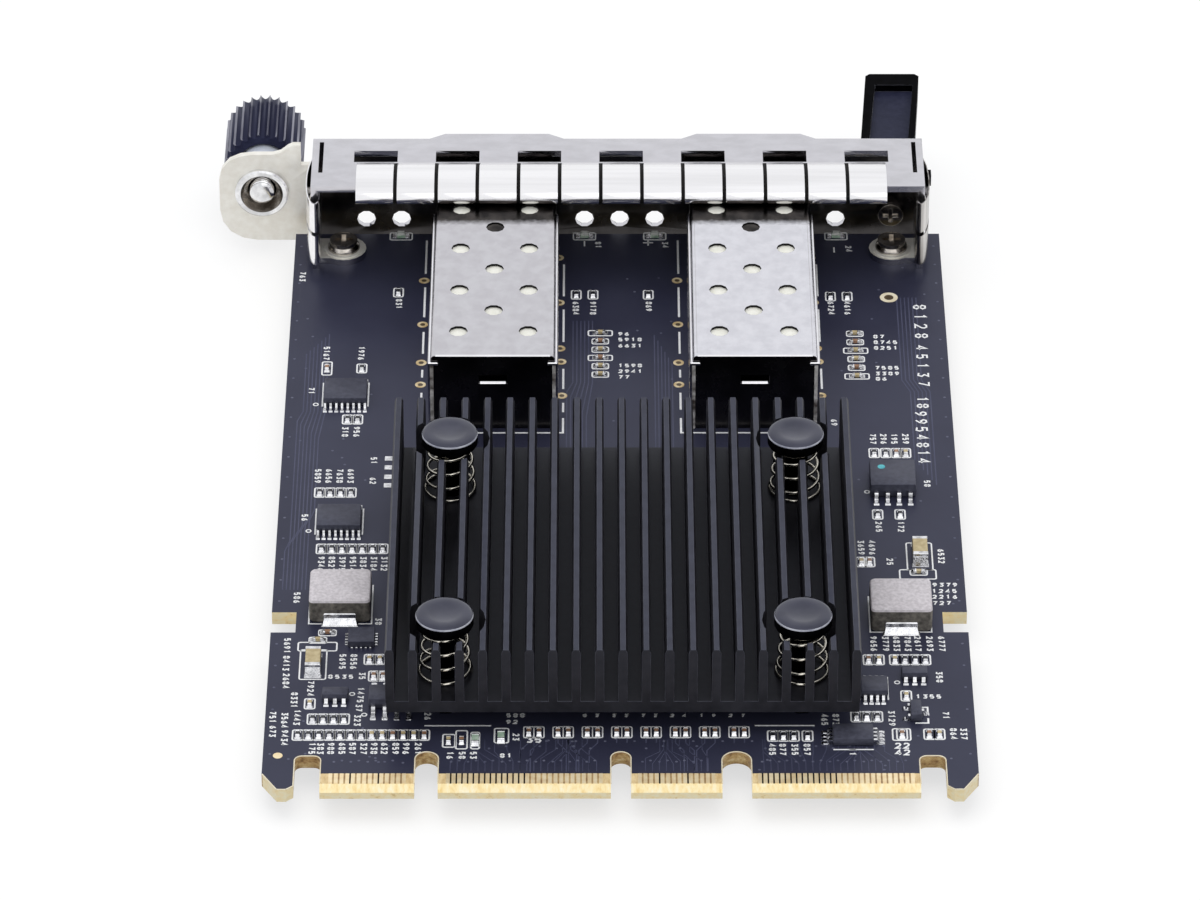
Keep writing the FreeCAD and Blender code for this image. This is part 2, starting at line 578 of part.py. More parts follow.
# ---------------------------------------------------------------- pull tab
x0, w = val["tab_x"], val["tab_w"] / 2
lean, end = val["tab_lean"], val["tab_end"]
near = val["plate_y"] + val["sheet_t"]
tongue = [(x0 - w, near + 2.0), (x0 - w + lean, end - 0.5), (x0 - w + lean + 0.5, end),
          (x0 + w + lean - 0.5, end), (x0 + w + lean, end - 0.5), (x0 + w, near + 2.0)]
hollow = [(x0 - w + 1.0, near + 2.6), (x0 - w + 1.1 + lean, end - 2.6),
          (x0 + w - 0.8 + lean, end - 2.6), (x0 + w - 0.8, near + 2.6)]
tongue_body, s1, p1 = padded("tab_tongue", XY, tongue, 3.2, "dims.tab_top - 3.2")
hollow_body, s2, p2 = padded("tab_hollow", XY, hollow, 1.5, "dims.tab_top - 0.9")
foot = box("tab_foot", x0 - w, near, -2.2, "dims.tab_w", 2.1, 10.2)
nub = box("tab_nub", x0 + w - 0.1, near, 4.8, 2.1, 1.2, 1.5)
finish(cut("pull_tab", fuse("tab_solid", [tongue_body, foot, nub]),
           [hollow_body, hole("tab_bore", 32.3, near - 1, 1.6, 1.05, 2.4, ALONG_Y)]), "pull_tab")
tab_head = fuse("tab_screw_solid", [
    bar("tab_screw_head", 32.3, 111.5, 1.6, 1.5, 0.7, ALONG_Y),
    hole("tab_screw_shank", 32.3, 112.2, 1.6, 0.99, 2.1, ALONG_Y)])
finish(cut("pull_tab_screw", tab_head, [
    box("tab_cross_0", 31.4, 111, 1.4, 1.8, 0.9, 0.4),
    box("tab_cross_1", 32.1, 111, 0.7, 0.4, 0.9, 1.8)]), "pull_tab_screw")


# ---------------------------------------------------------------- chips and power parts
def gull_chip(label, x, y, wide, deep, high, span, count, pitch, lead, skip=(), turned=False):
    """A moulded chip with bent leads in front and behind, or at left and right if turned."""
    def part(name, u, v, z, du, dv, dz):
        """One block, given along the row of leads (u) and across it (v) from the chip's centre."""
        if turned:
            return box(label + name, x + v, y + u, z, dv, du, dz)
        return box(label + name, x + u, y + v, z, du, dv, dz)

    parts = [part("_mould", -wide / 2, -deep / 2, 0.1, wide, deep, high - 0.1)]
    for side in (-1, 1):
        for i in range(count):
            if (side, i) in skip:
                continue
            at = (i - (count - 1) / 2) * pitch - lead / 2
            tip, wall = side * span / 2, side * (deep / 2 + 0.25)
            inner = side * (deep / 2 - 0.05)
            parts.append(part("_foot_%d_%d" % (side + 1, i), at, min(tip, wall), 0,
                              lead, abs(tip - wall), 0.15))
            parts.append(part("_bend_%d_%d" % (side + 1, i), at, min(inner, wall + side * 0.12), 0,
                              lead, 0.42, high * 0.5 + 0.05))
    finish(fuse(label, parts), label)


gull_chip("logic_chip_rear", -31.15, 75.2, 5.0, 4.4, 1.1, 6.4, 8, 0.65, 0.25)
gull_chip("logic_chip_front", -31.15, 49.6, 5.0, 4.4, 1.1, 6.4, 8, 0.65, 0.25)
gull_chip("flash_chip", 30.7, 57.1, 5.2, 5.25, 1.7, 7.9, 4, 1.27, 0.42)
gull_chip("monitor_chip", 27.35, 17.6, 3.0, 3.0, 0.95, 4.9, 4, 0.65, 0.28)
gull_chip("regulator_left", -30.6, 16.2, 2.9, 1.6, 1.0, 2.8, 3, 0.95, 0.38)
gull_chip("regulator_right", 31.8, 20.1, 2.9, 1.6, 1.0, 2.8, 3, 0.95, 0.38)
gull_chip("transistor", 31.7, 13.15, 2.9, 1.3, 1.0, 2.5, 3, 0.95, 0.4,
          skip=((-1, 1), (1, 0), (1, 2)), turned=True)
gull_chip("driver_chip", -24.55, 15.55, 4.9, 2.9, 1.3, 6.4, 4, 1.27, 0.42)
gull_chip("clock_chip", 24.85, 8.8, 3.0, 4.4, 0.95, 6.4, 4, 0.65, 0.28, turned=True)
finish(group("power_chip", [box("power_mould", -29.5, 25.6, 0, 2.9, 2.8, 0.8)]), "power_chip")


def inductor(label, x, y, w, d, h):
    mould = box(label + "_mould", x - w / 2, y - d / 2, 0.15, w, d, h - 0.15)
    ends = [box("%s_end_%d" % (label, side + 1), x - 1.5, y + side * (d / 2 + 0.1) - 0.35, 0,
                3.0, 0.7, 1.4) for side in (-1, 1)]
    finish(fuse(label, [mould] + ends), label)


inductor("inductor_left", -30.5, 33.3, 6.7, 6.3, 3.0)
inductor("inductor_right", 30.7, 31.5, 6.7, 6.2, 3.0)

bulk = []
for i, (x, y) in enumerate(((-33.15, 22.1), (33.25, 43.1))):
    bulk.append(box("bulk_%d" % i, x - 0.85, y - 1.75, 0, 1.7, 3.5, 1.45))
finish(group("bulk_capacitors", bulk), "bulk_capacitors")

leds = [box("port_led_%d" % i, x - 0.8, 109.0, 0, 1.6, 0.85, 0.6)
        for i, x in enumerate((-25.55, -3.9, 4.4, 25.8))]
finish(group("port_leds", leds), "port_leds")
leds = [box("status_led_%d" % i, x - 0.4, y - 0.75, 0, 0.8, 1.5, 0.5)
        for i, (x, y) in enumerate(((-15.45, 8.4), (-12.7, 8.9)))]
finish(group("status_leds", leds), "status_leds")


# ---------------------------------------------------------------- two-terminal parts
def along(name, spots):
    return [box("%s_%d" % (name, i), "%g - dims.chip_w/2" % x, "%g - dims.chip_l/2" % y, 0,
                "dims.chip_w", "dims.chip_l", "dims.chip_h") for i, (x, y) in enumerate(spots)]


def across(name, spots):
    return [box("%s_%d" % (name, i), "%g - dims.chip_l/2" % x, "%g - dims.chip_w/2" % y, 0,
                "dims.chip_l", "dims.chip_w", "dims.chip_h") for i, (x, y) in enumerate(spots)]


def run(x, y, count, step):
    return [(x + i * step, y) for i in range(count)]


resistors = run(-33.5, 55.5, 4, 1.17) + run(-32.95, 44.4, 7, 1.13) + run(-30.8, 70.3, 2, 1.15)
resistors += run(-34.4, 9.4, 2, 1.13) + run(-32.15, 9.4, 5, 1.13)
resistors += run(-32.9, 12.3, 4, 1.12) + run(24.8, 96.2, 2, 1.95) + run(-4.85, 96.6, 2, 1.95)
resistors += [(-29.45, 80.9), (-25.6, 97.1), (3.55, 96.6), (28.85, 51.1), (31.35, 51.1)]
resistors += run(16.3, 9.2, 3, 1.12) + [(20.0, 9.2)]
resistors += run(30.9, 23.2, 3, 1.1) + run(28.85, 63.4, 2, 1.3) + run(25.3, 12.7, 3, 1.13)
finish(group("chip_resistors", along("resistor", resistors)), "chip_resistors")

capacitors = run(-26.5, 9.4, 6, 1.12) + run(-27.1, 23.3, 2, 1.13) + run(-26.55, 20.2, 2, 1.0)
capacitors += [(-33.45, 80.9), (-33.3, 15.1), (-18.3, 8.4), (-16.9, 8.4), (30.8, 16.5)]
capacitors += run(26.95, 23.2, 2, 1.12) + [(29.8, 23.2), (30.1, 9.5), (33.0, 9.5), (34.1, 9.5)]
capacitors += run(31.35, 63.4, 2, 1.05) + run(26.75, 41.8, 2, 0.9)
caps = along("capacitor", capacitors)
caps += across("capacitor_flat", [(-32.8, 26.9), (-31.8, 28.3), (33.0, 39.8)])
caps += across("capacitor_rank", [(27.4, 79.2 + 1.8 * i) for i in range(6)])
caps += across("capacitor_mid", [(-2.05, 79.6 + 1.75 * i) for i in range(6)])
finish(group("chip_capacitors", caps), "chip_capacitors")

pairs = []
for i in range(8):
    pairs += run(-9.75 + 3.13 * i, 9.9, 2, 1.1)
finish(group("coupling_capacitors", along("coupling", pairs)), "coupling_capacitors")

# ---------------------------------------------------------------- build, check, write
doc.recompute()
bad = [o.Name for o in doc.Objects if "Invalid" in o.State or "Error" in o.State]
if bad:
    raise RuntimeError("not computed: " + ", ".join(bad))
os.makedirs("parts", exist_ok=True)
for piece in pieces:
    shape = piece.Shape
    if shape.isNull() or not shape.isValid() or not shape.Solids:
        raise RuntimeError("bad shape: " + piece.Label)
    shape.exportStep(os.path.join("parts", piece.Label + ".step"))
    b = shape.BoundBox
    print("%-22s solids %3d  x %7.2f %7.2f  y %7.2f %7.2f  z %6.2f %6.2f  vol %9.2f" % (
        piece.Label, len(shape.Solids), b.XMin, b.XMax, b.YMin, b.YMax, b.ZMin, b.ZMax,
        shape.Volume))
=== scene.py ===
import bpy
import bmesh
import json
import math
import random
from mathutils import Euler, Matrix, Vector


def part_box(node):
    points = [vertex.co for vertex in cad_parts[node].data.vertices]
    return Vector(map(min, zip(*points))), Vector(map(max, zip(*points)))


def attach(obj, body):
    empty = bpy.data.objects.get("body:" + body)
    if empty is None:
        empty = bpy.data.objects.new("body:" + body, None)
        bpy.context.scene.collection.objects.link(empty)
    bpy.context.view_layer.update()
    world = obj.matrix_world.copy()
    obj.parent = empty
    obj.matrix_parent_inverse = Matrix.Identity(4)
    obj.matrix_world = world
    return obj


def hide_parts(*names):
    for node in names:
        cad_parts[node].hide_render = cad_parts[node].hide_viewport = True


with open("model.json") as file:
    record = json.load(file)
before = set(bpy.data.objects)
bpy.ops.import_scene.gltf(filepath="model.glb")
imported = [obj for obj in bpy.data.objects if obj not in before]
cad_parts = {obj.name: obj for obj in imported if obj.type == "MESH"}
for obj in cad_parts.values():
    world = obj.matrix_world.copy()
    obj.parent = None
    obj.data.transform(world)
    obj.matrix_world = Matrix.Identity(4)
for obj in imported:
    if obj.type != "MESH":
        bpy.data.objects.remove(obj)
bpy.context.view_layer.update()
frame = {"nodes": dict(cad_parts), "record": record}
nodes = frame["nodes"]
MM = 0.001
WELD = 2e-6  # points of the frame's meshes closer than this are one
FLAT = math.radians(1.0)  # faces closer in slope than this are one
BOARD_LONG = 110  # millimetres from the card edge to the board's rear end
board_low, board_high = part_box("pcb")
ORIGIN = Vector(((board_low.x + board_high.x) / 2, board_high.y - BOARD_LONG * MM, board_high.z))


def P(x, y, z=0.0):
    """Card millimetres (across, from the card edge, above the board) to the row frame."""
    return ORIGIN + Vector((x, y, z)) * MM


def card_box(node):
    """Lowest and highest corner of a CAD node in card millimetres."""
    a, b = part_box(node)
    return (a - ORIGIN) / MM, (b - ORIGIN) / MM


def merged(node, simpler=True):
    """A CAD node's mesh with its doubled points joined and, if simpler, its flat faces whole."""
    bm = bmesh.new()
    bm.from_mesh(nodes[node].data)
    bmesh.ops.remove_doubles(bm, verts=bm.verts, dist=WELD)
    if simpler:
        bmesh.ops.dissolve_limit(bm, angle_limit=FLAT, verts=bm.verts, edges=bm.edges)
    return bm


def islands(node):
    """Boxes (x0, x1, y0, y1, z0, z1) of a CAD node's separate solids, in card millimetres."""
    bm = merged(node, simpler=False)
    left, boxes = set(bm.verts), []
    while left:
        stack, points = [left.pop()], []
        while stack:
            v = stack.pop()
            points.append((v.co - ORIGIN) / MM)
            joined = {edge.other_vert(v) for edge in v.link_edges} & left
            left -= joined
            stack += joined
        boxes.append(tuple(round(limit(p[k] for p in points), 3)
                           for k in range(3) for limit in (min, max)))
    bm.free()
    return sorted(boxes)


# ---- materials
BOARD_DARK = (0.026, 0.027, 0.050)
BOARD_LIGHT = (0.035, 0.037, 0.065)
FINGERS_END = 2.5  # the mask stops here, so the finger zone is bare laminate
CUT_DARK = 2.2  # cut edges take a darker brown tone from here
CUT_PALE = 12.0  # to here
TONGUE_HALF = 32.2  # half width of the card edge's tongue
PAINTED_REFLECTION_WANDER = 1.2  # how far the edge of the painted reflection wanders
PAINTED_REFLECTION_DARK = (0.012, 0.010, 0.010)  # painted reflection: what the cage roofs mirror under the bracket
PAINTED_REFLECTION_LIGHT = (0.060, 0.052, 0.048)
SLOPED = 0.5  # share of upward look that tells a bevel from a wall
LEVEL = 0.97  # and a level face from a bevel
DARK_AT, LIGHT_AT = 0.35, 0.65  # the noise between which a finish turns from dark to light
BLUE = (0.74, 0.78, 1.0)  # cool tint of the sheen on dark surfaces


def linked(name, data):
    """A new object in the scene."""
    ob = bpy.data.objects.new(name, data)
    bpy.context.scene.collection.objects.link(ob)
    return ob


class Graph:
    """The nodes and links of one material or of the world."""

    def __init__(self, tree):
        self.nodes = tree.nodes
        self.link = tree.links.new

    def new(self, kind, values=None):
        node = self.nodes.new("ShaderNode" + kind)
        preset(node, values or {})
        return node

    def coord(self, scale):
        """Object coordinates, stretched by one factor or by one factor an axis."""
        three = scale if hasattr(scale, "__len__") else (scale,) * 3
        mapping = self.new("Mapping", {"Scale": three})
        self.link(self.new("TexCoord").outputs["Object"], mapping.inputs["Vector"])
        return mapping.outputs["Vector"]

    def noise(self, vec, scale, detail=3.0, rough=0.55):
        node = self.new("TexNoise", {"Scale": scale, "Detail": detail, "Roughness": rough})
        self.link(vec, node.inputs["Vector"])
        return node.outputs["Fac"]

    def ramp(self, fac, *stops):
        node = self.new("ValToRGB")
        elements = node.color_ramp.elements
        while len(elements) < len(stops):
            elements.new(0.5)
        for element, (place, colour) in zip(elements, stops):
            element.position = place
            element.color = (*colour, 1)
        self.link(fac, node.inputs["Fac"])
        return node.outputs["Color"]

    def bump(self, bsdf, height, strength, distance):
        node = self.new("Bump", {"Strength": strength, "Distance": distance})
        self.link(height, node.inputs["Height"])
        self.link(node.outputs["Normal"], bsdf.inputs["Normal"])

    def scaled(self, value, low, high, first=0.0, last=1.0):
        """A value from first to last brought to the range from low to high."""
        node = self.new("MapRange", {"From Min": first, "From Max": last, "To Min": low,
                                     "To Max": high})
        self.link(value, node.inputs["Value"])
        return node.outputs["Result"]

    def calc(self, operation, *values):
        """One maths node; floats are set on it and sockets are linked to it."""
        node = self.new("Math")
        node.operation = operation
        for socket, value in zip(node.inputs, values):
            if isinstance(value, float):
                socket.default_value = value
            else:
                self.link(value, socket)
        return node.outputs[0]

    def axis_of(self, vector, axis):
        node = self.new("SeparateXYZ")
        self.link(vector, node.inputs["Vector"])
        return node.outputs[axis]

    def past(self, place):
        """1 beyond a place along the card, counted from the card edge, and 0 before it."""
        return self.calc("GREATER_THAN", self.axis_of(self.coord(1), "Y"), P(0, place).y)

    def blend(self, fac, a, b):
        node = self.new("Mix")
        node.data_type = "RGBA"
        for name, value in (("Factor", fac), ("A", a), ("B", b)):
            self.link(value, node.inputs[name])
        return node.outputs["Result"]

    def seen_directly(self):
        """1 for camera, glossy and transmission rays, 0 for the rest."""
        path = self.new("LightPath")
        out = path.outputs["Is Camera Ray"]
        for name in ("Is Glossy Ray", "Is Transmission Ray"):
            out = self.calc("MAXIMUM", out, path.outputs[name])
        return out


def preset(node, values):
    for name, value in values.items():
        node.inputs[name].default_value = value


def new_mat(name):
    m = bpy.data.materials.new(name)
    m.use_nodes = True
    return m, Graph(m.node_tree), m.node_tree.nodes["Principled BSDF"]


def finish_mat(name, dark, light, grain, rough, metallic=0.0, bump=0.15, depth=2e-5, spec=0.5,
               tint=(1, 1, 1), coat=0.0, spread=0.07, dusk=None):
    """Finish that wanders between two colours, with matching roughness and bump; grain is the
    noise's scale, or three of them. Given a distance from the card edge, the finish past it
    takes a painted reflection of the dark underside of the bracket."""
    m, g, bsdf = new_mat(name)
    vec = g.coord(grain)
    f = g.noise(vec, 1.0)
    colour = g.ramp(f, (DARK_AT, dark), (LIGHT_AT, light))
    # painted reflection of the bracket's dark underside, blended in past the given distance
    if dusk:
        wander = g.calc("MULTIPLY_ADD", g.noise(g.coord(1), 1300, 4.0, 0.7), PAINTED_REFLECTION_WANDER * MM,
                        g.axis_of(g.coord(1), "Y"))
        fade = g.scaled(wander, 0.0, 1.0, P(0, dusk).y, P(0, dusk + PAINTED_REFLECTION_WANDER).y)
        colour = g.blend(fade, colour, g.ramp(f, (DARK_AT, PAINTED_REFLECTION_DARK), (LIGHT_AT, PAINTED_REFLECTION_LIGHT)))
    g.link(colour, bsdf.inputs["Base Color"])
    preset(bsdf, {"Metallic": metallic, "Specular IOR Level": spec, "Specular Tint": (*tint, 1),
                  "Coat Weight": coat, "Coat Roughness": 0.08})
    g.link(g.scaled(f, max(0.03, rough - spread), rough + spread), bsdf.inputs["Roughness"])
    g.bump(bsdf, g.noise(vec, 4.3, 2.0), bump, depth)
    return m


def board_material():
    """Navy satin mask, bare laminate round the fingers and on the bevel, mottled cut edges."""
    m, g, bsdf = new_mat("board_mask")
    up = g.calc("ABSOLUTE", g.axis_of(g.new("NewGeometry").outputs["True Normal"], "Z"))
    vec = g.coord(1)
    blot = g.noise(vec, 90, 4.0)
    mask = g.ramp(blot, (0.3, BOARD_DARK), (0.7, BOARD_LIGHT))
    grain = g.noise(g.coord((900, 900, 1500)), 1.0, 4.0, 0.7)
    pale = g.ramp(grain, (0.28, (0.62, 0.43, 0.18)), (0.40, (1.0, 0.82, 0.46)),
                  (0.64, (1.0, 0.92, 0.66)), (0.76, (0.86, 0.64, 0.32)))
    brown_cut = g.ramp(grain, (0.30, (0.15, 0.08, 0.03)), (0.45, (0.46, 0.29, 0.12)),
                   (0.58, (0.70, 0.52, 0.25)), (0.70, (0.90, 0.78, 0.50)))
    edge = g.blend(g.past(CUT_PALE), g.blend(g.past(CUT_DARK), pale, brown_cut), pale)
    streak = g.noise(g.coord((1500, 500, 500)), 1.0, 3.0, 0.7)
    bevel = g.ramp(streak, (0.30, (0.90, 0.66, 0.28)), (0.50, (1.0, 0.83, 0.46)),
                   (0.70, (1.0, 0.93, 0.70)))
    bare = g.ramp(streak, (0.35, (0.62, 0.43, 0.20)), (0.65, (0.86, 0.68, 0.38)))
    sloped = g.blend(g.calc("GREATER_THAN", up, SLOPED), edge, bevel)
    aside = g.calc("ABSOLUTE", g.calc("SUBTRACT", g.axis_of(g.coord(1), "X"), ORIGIN.x))
    masked = g.calc("MAXIMUM", g.calc("GREATER_THAN", aside, TONGUE_HALF * MM),
                    g.past(FINGERS_END))
    flat = g.blend(masked, bare, mask)
    g.link(g.blend(g.calc("GREATER_THAN", up, LEVEL), sloped, flat), bsdf.inputs["Base Color"])
    preset(bsdf, {"Specular IOR Level": 0.28, "Specular Tint": (*BLUE, 1)})
    g.link(g.scaled(blot, 0.30, 0.40), bsdf.inputs["Roughness"])
    g.bump(bsdf, g.noise(vec, 2600, 2.0), 0.10, 2e-5)
    return m


M = {"board": board_material()}


def finishes(rows, **shared):
    """Finishes by key: name, dark, light, grain, roughness, metal, bump, its depth, specular."""
    for key, row in rows.items():
        M[key] = finish_mat(*row, **shared)


finishes({
    "gold": ("gold_plate", (0.90, 0.70, 0.40), (1.0, 0.86, 0.58), 900, 0.34, 0.45, 0.1),
    "ring": ("plated_ring", (0.60, 0.42, 0.18), (0.98, 0.84, 0.56), 900, 0.4, 0.2, 0.2),
    "gap": ("bare_laminate", (0.26, 0.15, 0.06), (0.55, 0.38, 0.17), 900, 0.5),
    # dark bronze hole centres: the plating's own tone, darkened as painted shade down the bore
    "hollow": ("plated_hole_painted_shade", (0.05, 0.035, 0.02), (0.16, 0.11, 0.06), 900, 0.4),
    "cream": ("cream_ink", (0.80, 0.70, 0.50), (0.93, 0.85, 0.66), 900, 0.5),
    "silk": ("silk_ink", (0.88, 0.89, 0.90), (0.97, 0.97, 0.97), 2500, 0.6, 0.0, 0.2),
    # a paler copy of the cage nickel on folded edges, painted highlight
    "cage_painted_highlight": ("cage_edge_painted_highlight", (0.80, 0.79, 0.81), (0.90, 0.89, 0.91), 300, 0.22, 1.0),
    # mottled bright and dark on the cages' rear corners, painted glint
    "glint": ("folded_corner_painted_glint", (0.10, 0.08, 0.07), (0.95, 0.93, 0.90), (500, 500, 700), 0.35, 0.3, 0.2),
    # dark metal: painted shade on the faceplate's inner side, painted dark reflection on the cage rear
    # walls
    "inner": ("bracket_inside_painted_shade", (0.045, 0.042, 0.042), (0.085, 0.08, 0.08), 300, 0.26, 1.0, 0.06, 1e-5),
    # paler, duller copy of the bracket's nickel: painted light on the ear and the lugs, the washers' own
    # pale finish
    "ear": ("ear_nickel", (0.84, 0.81, 0.74), (0.92, 0.90, 0.84), 900, 0.42, 0.55, 0.25),
    "gasket": ("gasket_bright", (0.84, 0.83, 0.84), (0.94, 0.93, 0.94),
               (30, 700, 700), 0.16, 1.0, 0.05, 1e-5),
    # dark copy of the gasket finish, painted shade streaked with painted reflection
    "gasket_painted_shade": ("gasket_shaded", (0.10, 0.085, 0.075), (0.62, 0.60, 0.58),
                    (900, 900, 60), 0.22, 1.0, 0.3, 3e-5),
    "screw": ("screw_nickel", (0.20, 0.175, 0.15), (0.60, 0.56, 0.51), 420, 0.2, 1.0, 0.3, 3e-5),
    "tip": ("screw_bright", (0.62, 0.62, 0.63), (0.88, 0.88, 0.89), 700, 0.16, 1.0, 0.3, 3e-5),
    "sleeve": ("sleeve_satin", (0.72, 0.77, 0.88), (0.86, 0.90, 0.97), 300, 0.4, 0.25, 0.1),
    "wire": ("spring_wire", (0.66, 0.62, 0.54), (0.84, 0.80, 0.71), 600, 0.2, 1.0),
    # lighter crests of the knob's flutes, painted highlight
    "ridge": ("knob_crest_painted_highlight", (0.10, 0.10, 0.14), (0.34, 0.34, 0.40),
              (900, 90, 900), 0.30, 0.2, 0.06, 1e-5, 0.3),
    "tin": ("tinned_lead", (0.48, 0.48, 0.49), (0.88, 0.88, 0.90), 1500, 0.24, 1.0, 0.3, 4e-5),
    "solder": ("solder_fillet", (0.60, 0.60, 0.62), (0.90, 0.90, 0.92), 1100, 0.18, 1.0, 0.5, 8e-5),
    "ferrite": ("pressed_powder", (0.53, 0.495, 0.52), (0.70, 0.66, 0.69), 2600, 0.62, 0.0, 0.5, 6e-5),
    # darker copy of the pressed powder for the inductor sides, painted shade
    "ferrite_painted_shade": ("powder_side_painted_shade", (0.09, 0.083, 0.072), (0.24, 0.22, 0.19), 1700, 0.5, 0.2, 0.5, 6e-5),
    "tan": ("fired_tan", (0.46, 0.36, 0.19), (0.60, 0.50, 0.29), 1500, 0.45, 0.0, 0.2),
    "brown": ("fired_brown", (0.25, 0.13, 0.075), (0.38, 0.22, 0.135), 1500, 0.42, 0.0, 0.2),
    "glaze": ("resistor_glaze", (0.012, 0.012, 0.017), (0.026, 0.026, 0.034), 2000, 0.3),
    "pad": ("gap_pad", (0.30, 0.31, 0.36), (0.40, 0.41, 0.46), 700, 0.7),
    "paint": ("paint_dot", (0.05, 0.40, 0.48), (0.12, 0.55, 0.60), 1500, 0.4),
    "liner": ("liner_cream", (0.86, 0.85, 0.76), (0.96, 0.95, 0.88), 900, 0.6),
    "shade": ("deep_shadow", (0.004, 0.004, 0.005), (0.009, 0.008, 0.007),
              900, 0.7, 0.0, 0.15, 2e-5, 0.1),
})
finishes({
    "trace": ("mask_over_copper", (0.060, 0.064, 0.110), (0.080, 0.084, 0.135),
              300, 0.34, 0.0, 0.15, 2e-5, 0.2),
    "via": ("filled_via", (0.085, 0.090, 0.140), (0.13, 0.135, 0.19), 900, 0.35, 0.0, 0.15, 2e-5, 0.2),
    "sink": ("black_anodised", (0.011, 0.011, 0.0135), (0.019, 0.0185, 0.023),
             700, 0.42, 0.0, 0.2, 2e-5, 0.26),
    # lighter copy of the anodising on the fin tops, painted light
    "sink_top": ("anodised_top_painted_light", (0.019, 0.020, 0.033), (0.029, 0.031, 0.048),
                 700, 0.40, 0.0, 0.2, 2e-5, 0.36),
    # lighter copy on the rounded fin edges, painted highlight
    "sink_rim_painted_highlight": ("fin_rim_painted_highlight", (0.045, 0.047, 0.066), (0.13, 0.135, 0.17), 900, 0.36, 0.0, 0.2, 2e-5, 0.4),
    "plastic": ("black_moulded", (0.0008, 0.0008, 0.001), (0.002, 0.002, 0.003),
                900, 0.30, 0.0, 0.2, 3e-5, 0.01),
    # pale band on rims and rounded edges of black plastic, painted highlight
    "rim_painted_highlight": ("moulded_rim_painted_highlight", (0.30, 0.31, 0.38), (0.55, 0.56, 0.62), 900, 0.3, 0.0, 0.2, 3e-5),
    "tab": ("tab_recess", (0.016, 0.018, 0.038), (0.026, 0.028, 0.054), 1400, 0.5, 0.0, 0.35, 3e-5, 0.1),
    "knob": ("knob_black", (0.016, 0.017, 0.040), (0.026, 0.028, 0.060),
             (900, 30, 900), 0.34, 0.2, 0.06, 1e-5, 0.12),
    "mould": ("chip_mould", (0.046, 0.047, 0.066), (0.068, 0.070, 0.096),
              1800, 0.48, 0.0, 0.3, 3e-5, 0.4),
}, tint=BLUE)
# the cage roofs take a painted reflection of the bracket's dark underside past 96.9 mm
finishes({
    "cage": ("cage_nickel", (0.55, 0.535, 0.565), (0.61, 0.60, 0.63),
             (700, 600, 700), 0.24, 1.0, 0.08, 1e-5),
    # a lighter copy of the same nickel for the right cage, painted light
    "cage_painted_lighter": ("cage_nickel_painted_lighter", (0.66, 0.655, 0.70), (0.74, 0.735, 0.78),
                  (700, 600, 700), 0.24, 1.0, 0.08, 1e-5),
}, spread=0.03, dusk=96.9)
finishes({
    "bracket": ("bracket_nickel", (0.57, 0.56, 0.59), (0.63, 0.62, 0.655),
                (400, 700, 700), 0.22, 1.0, 0.06, 1e-5),
}, spread=0.03)
finishes({
    "gloss": ("gloss_black", (0.026, 0.026, 0.038), (0.043, 0.043, 0.060),
              300, 0.10, 0.0, 0.03, 1e-5, 0.62),
}, tint=BLUE, spread=0.03)
finishes({
    "lamp": ("lamp_body", (0.30, 0.46, 0.33), (0.55, 0.66, 0.55), 1500, 0.2, 0.0, 0.1),
    "lamp_white": ("lamp_window", (0.72, 0.74, 0.70), (0.85, 0.86, 0.82), 1500, 0.25, 0.0, 0.1),
}, coat=0.3)


# ---- mesh helpers
def ring_points(seg, start=0.0, sweep=2 * math.pi):
    """Cosine and sine of points along an arc and at both its ends, or round a circle."""
    last = seg if sweep == 2 * math.pi else seg - 1
    angles = [start + sweep * i / last for i in range(seg)]
    return [(math.cos(a), math.sin(a)) for a in angles]


def smooth_path(points, per):
    """Points along a smooth curve through the given ones, so many for each stretch."""
    points = [Vector(p) for p in points]
    ends = points[:1] + points + points[-1:]
    out = []
    for a, b, c, d in zip(ends, ends[1:], ends[2:], ends[3:]):
        for t in (j / per for j in range(per)):
            out.append(b + 0.5 * ((c - a) * t + (2 * a - 5 * b + 4 * c - d) * t ** 2
                                  + (3 * b - a - 3 * c + d) * t ** 3))
    return out + points[-1:]


def thickened(path, t):
    """Closed outline of a thin sheet whose outer side follows a 2-D path."""
    inner = []
    for i, p in enumerate(path):
        a, b = path[max(i - 1, 0)], path[min(i + 1, len(path) - 1)]
        d = (b - a).normalized()
        inner.append(p + Vector((d.y, -d.x)) * t)
    return list(path) + inner[::-1]


SUNK = -0.01  # printed and plated things start just under the mask
UP, ALONG = (0, 0, 1), (0, 1, 0)  # axes of turned shapes


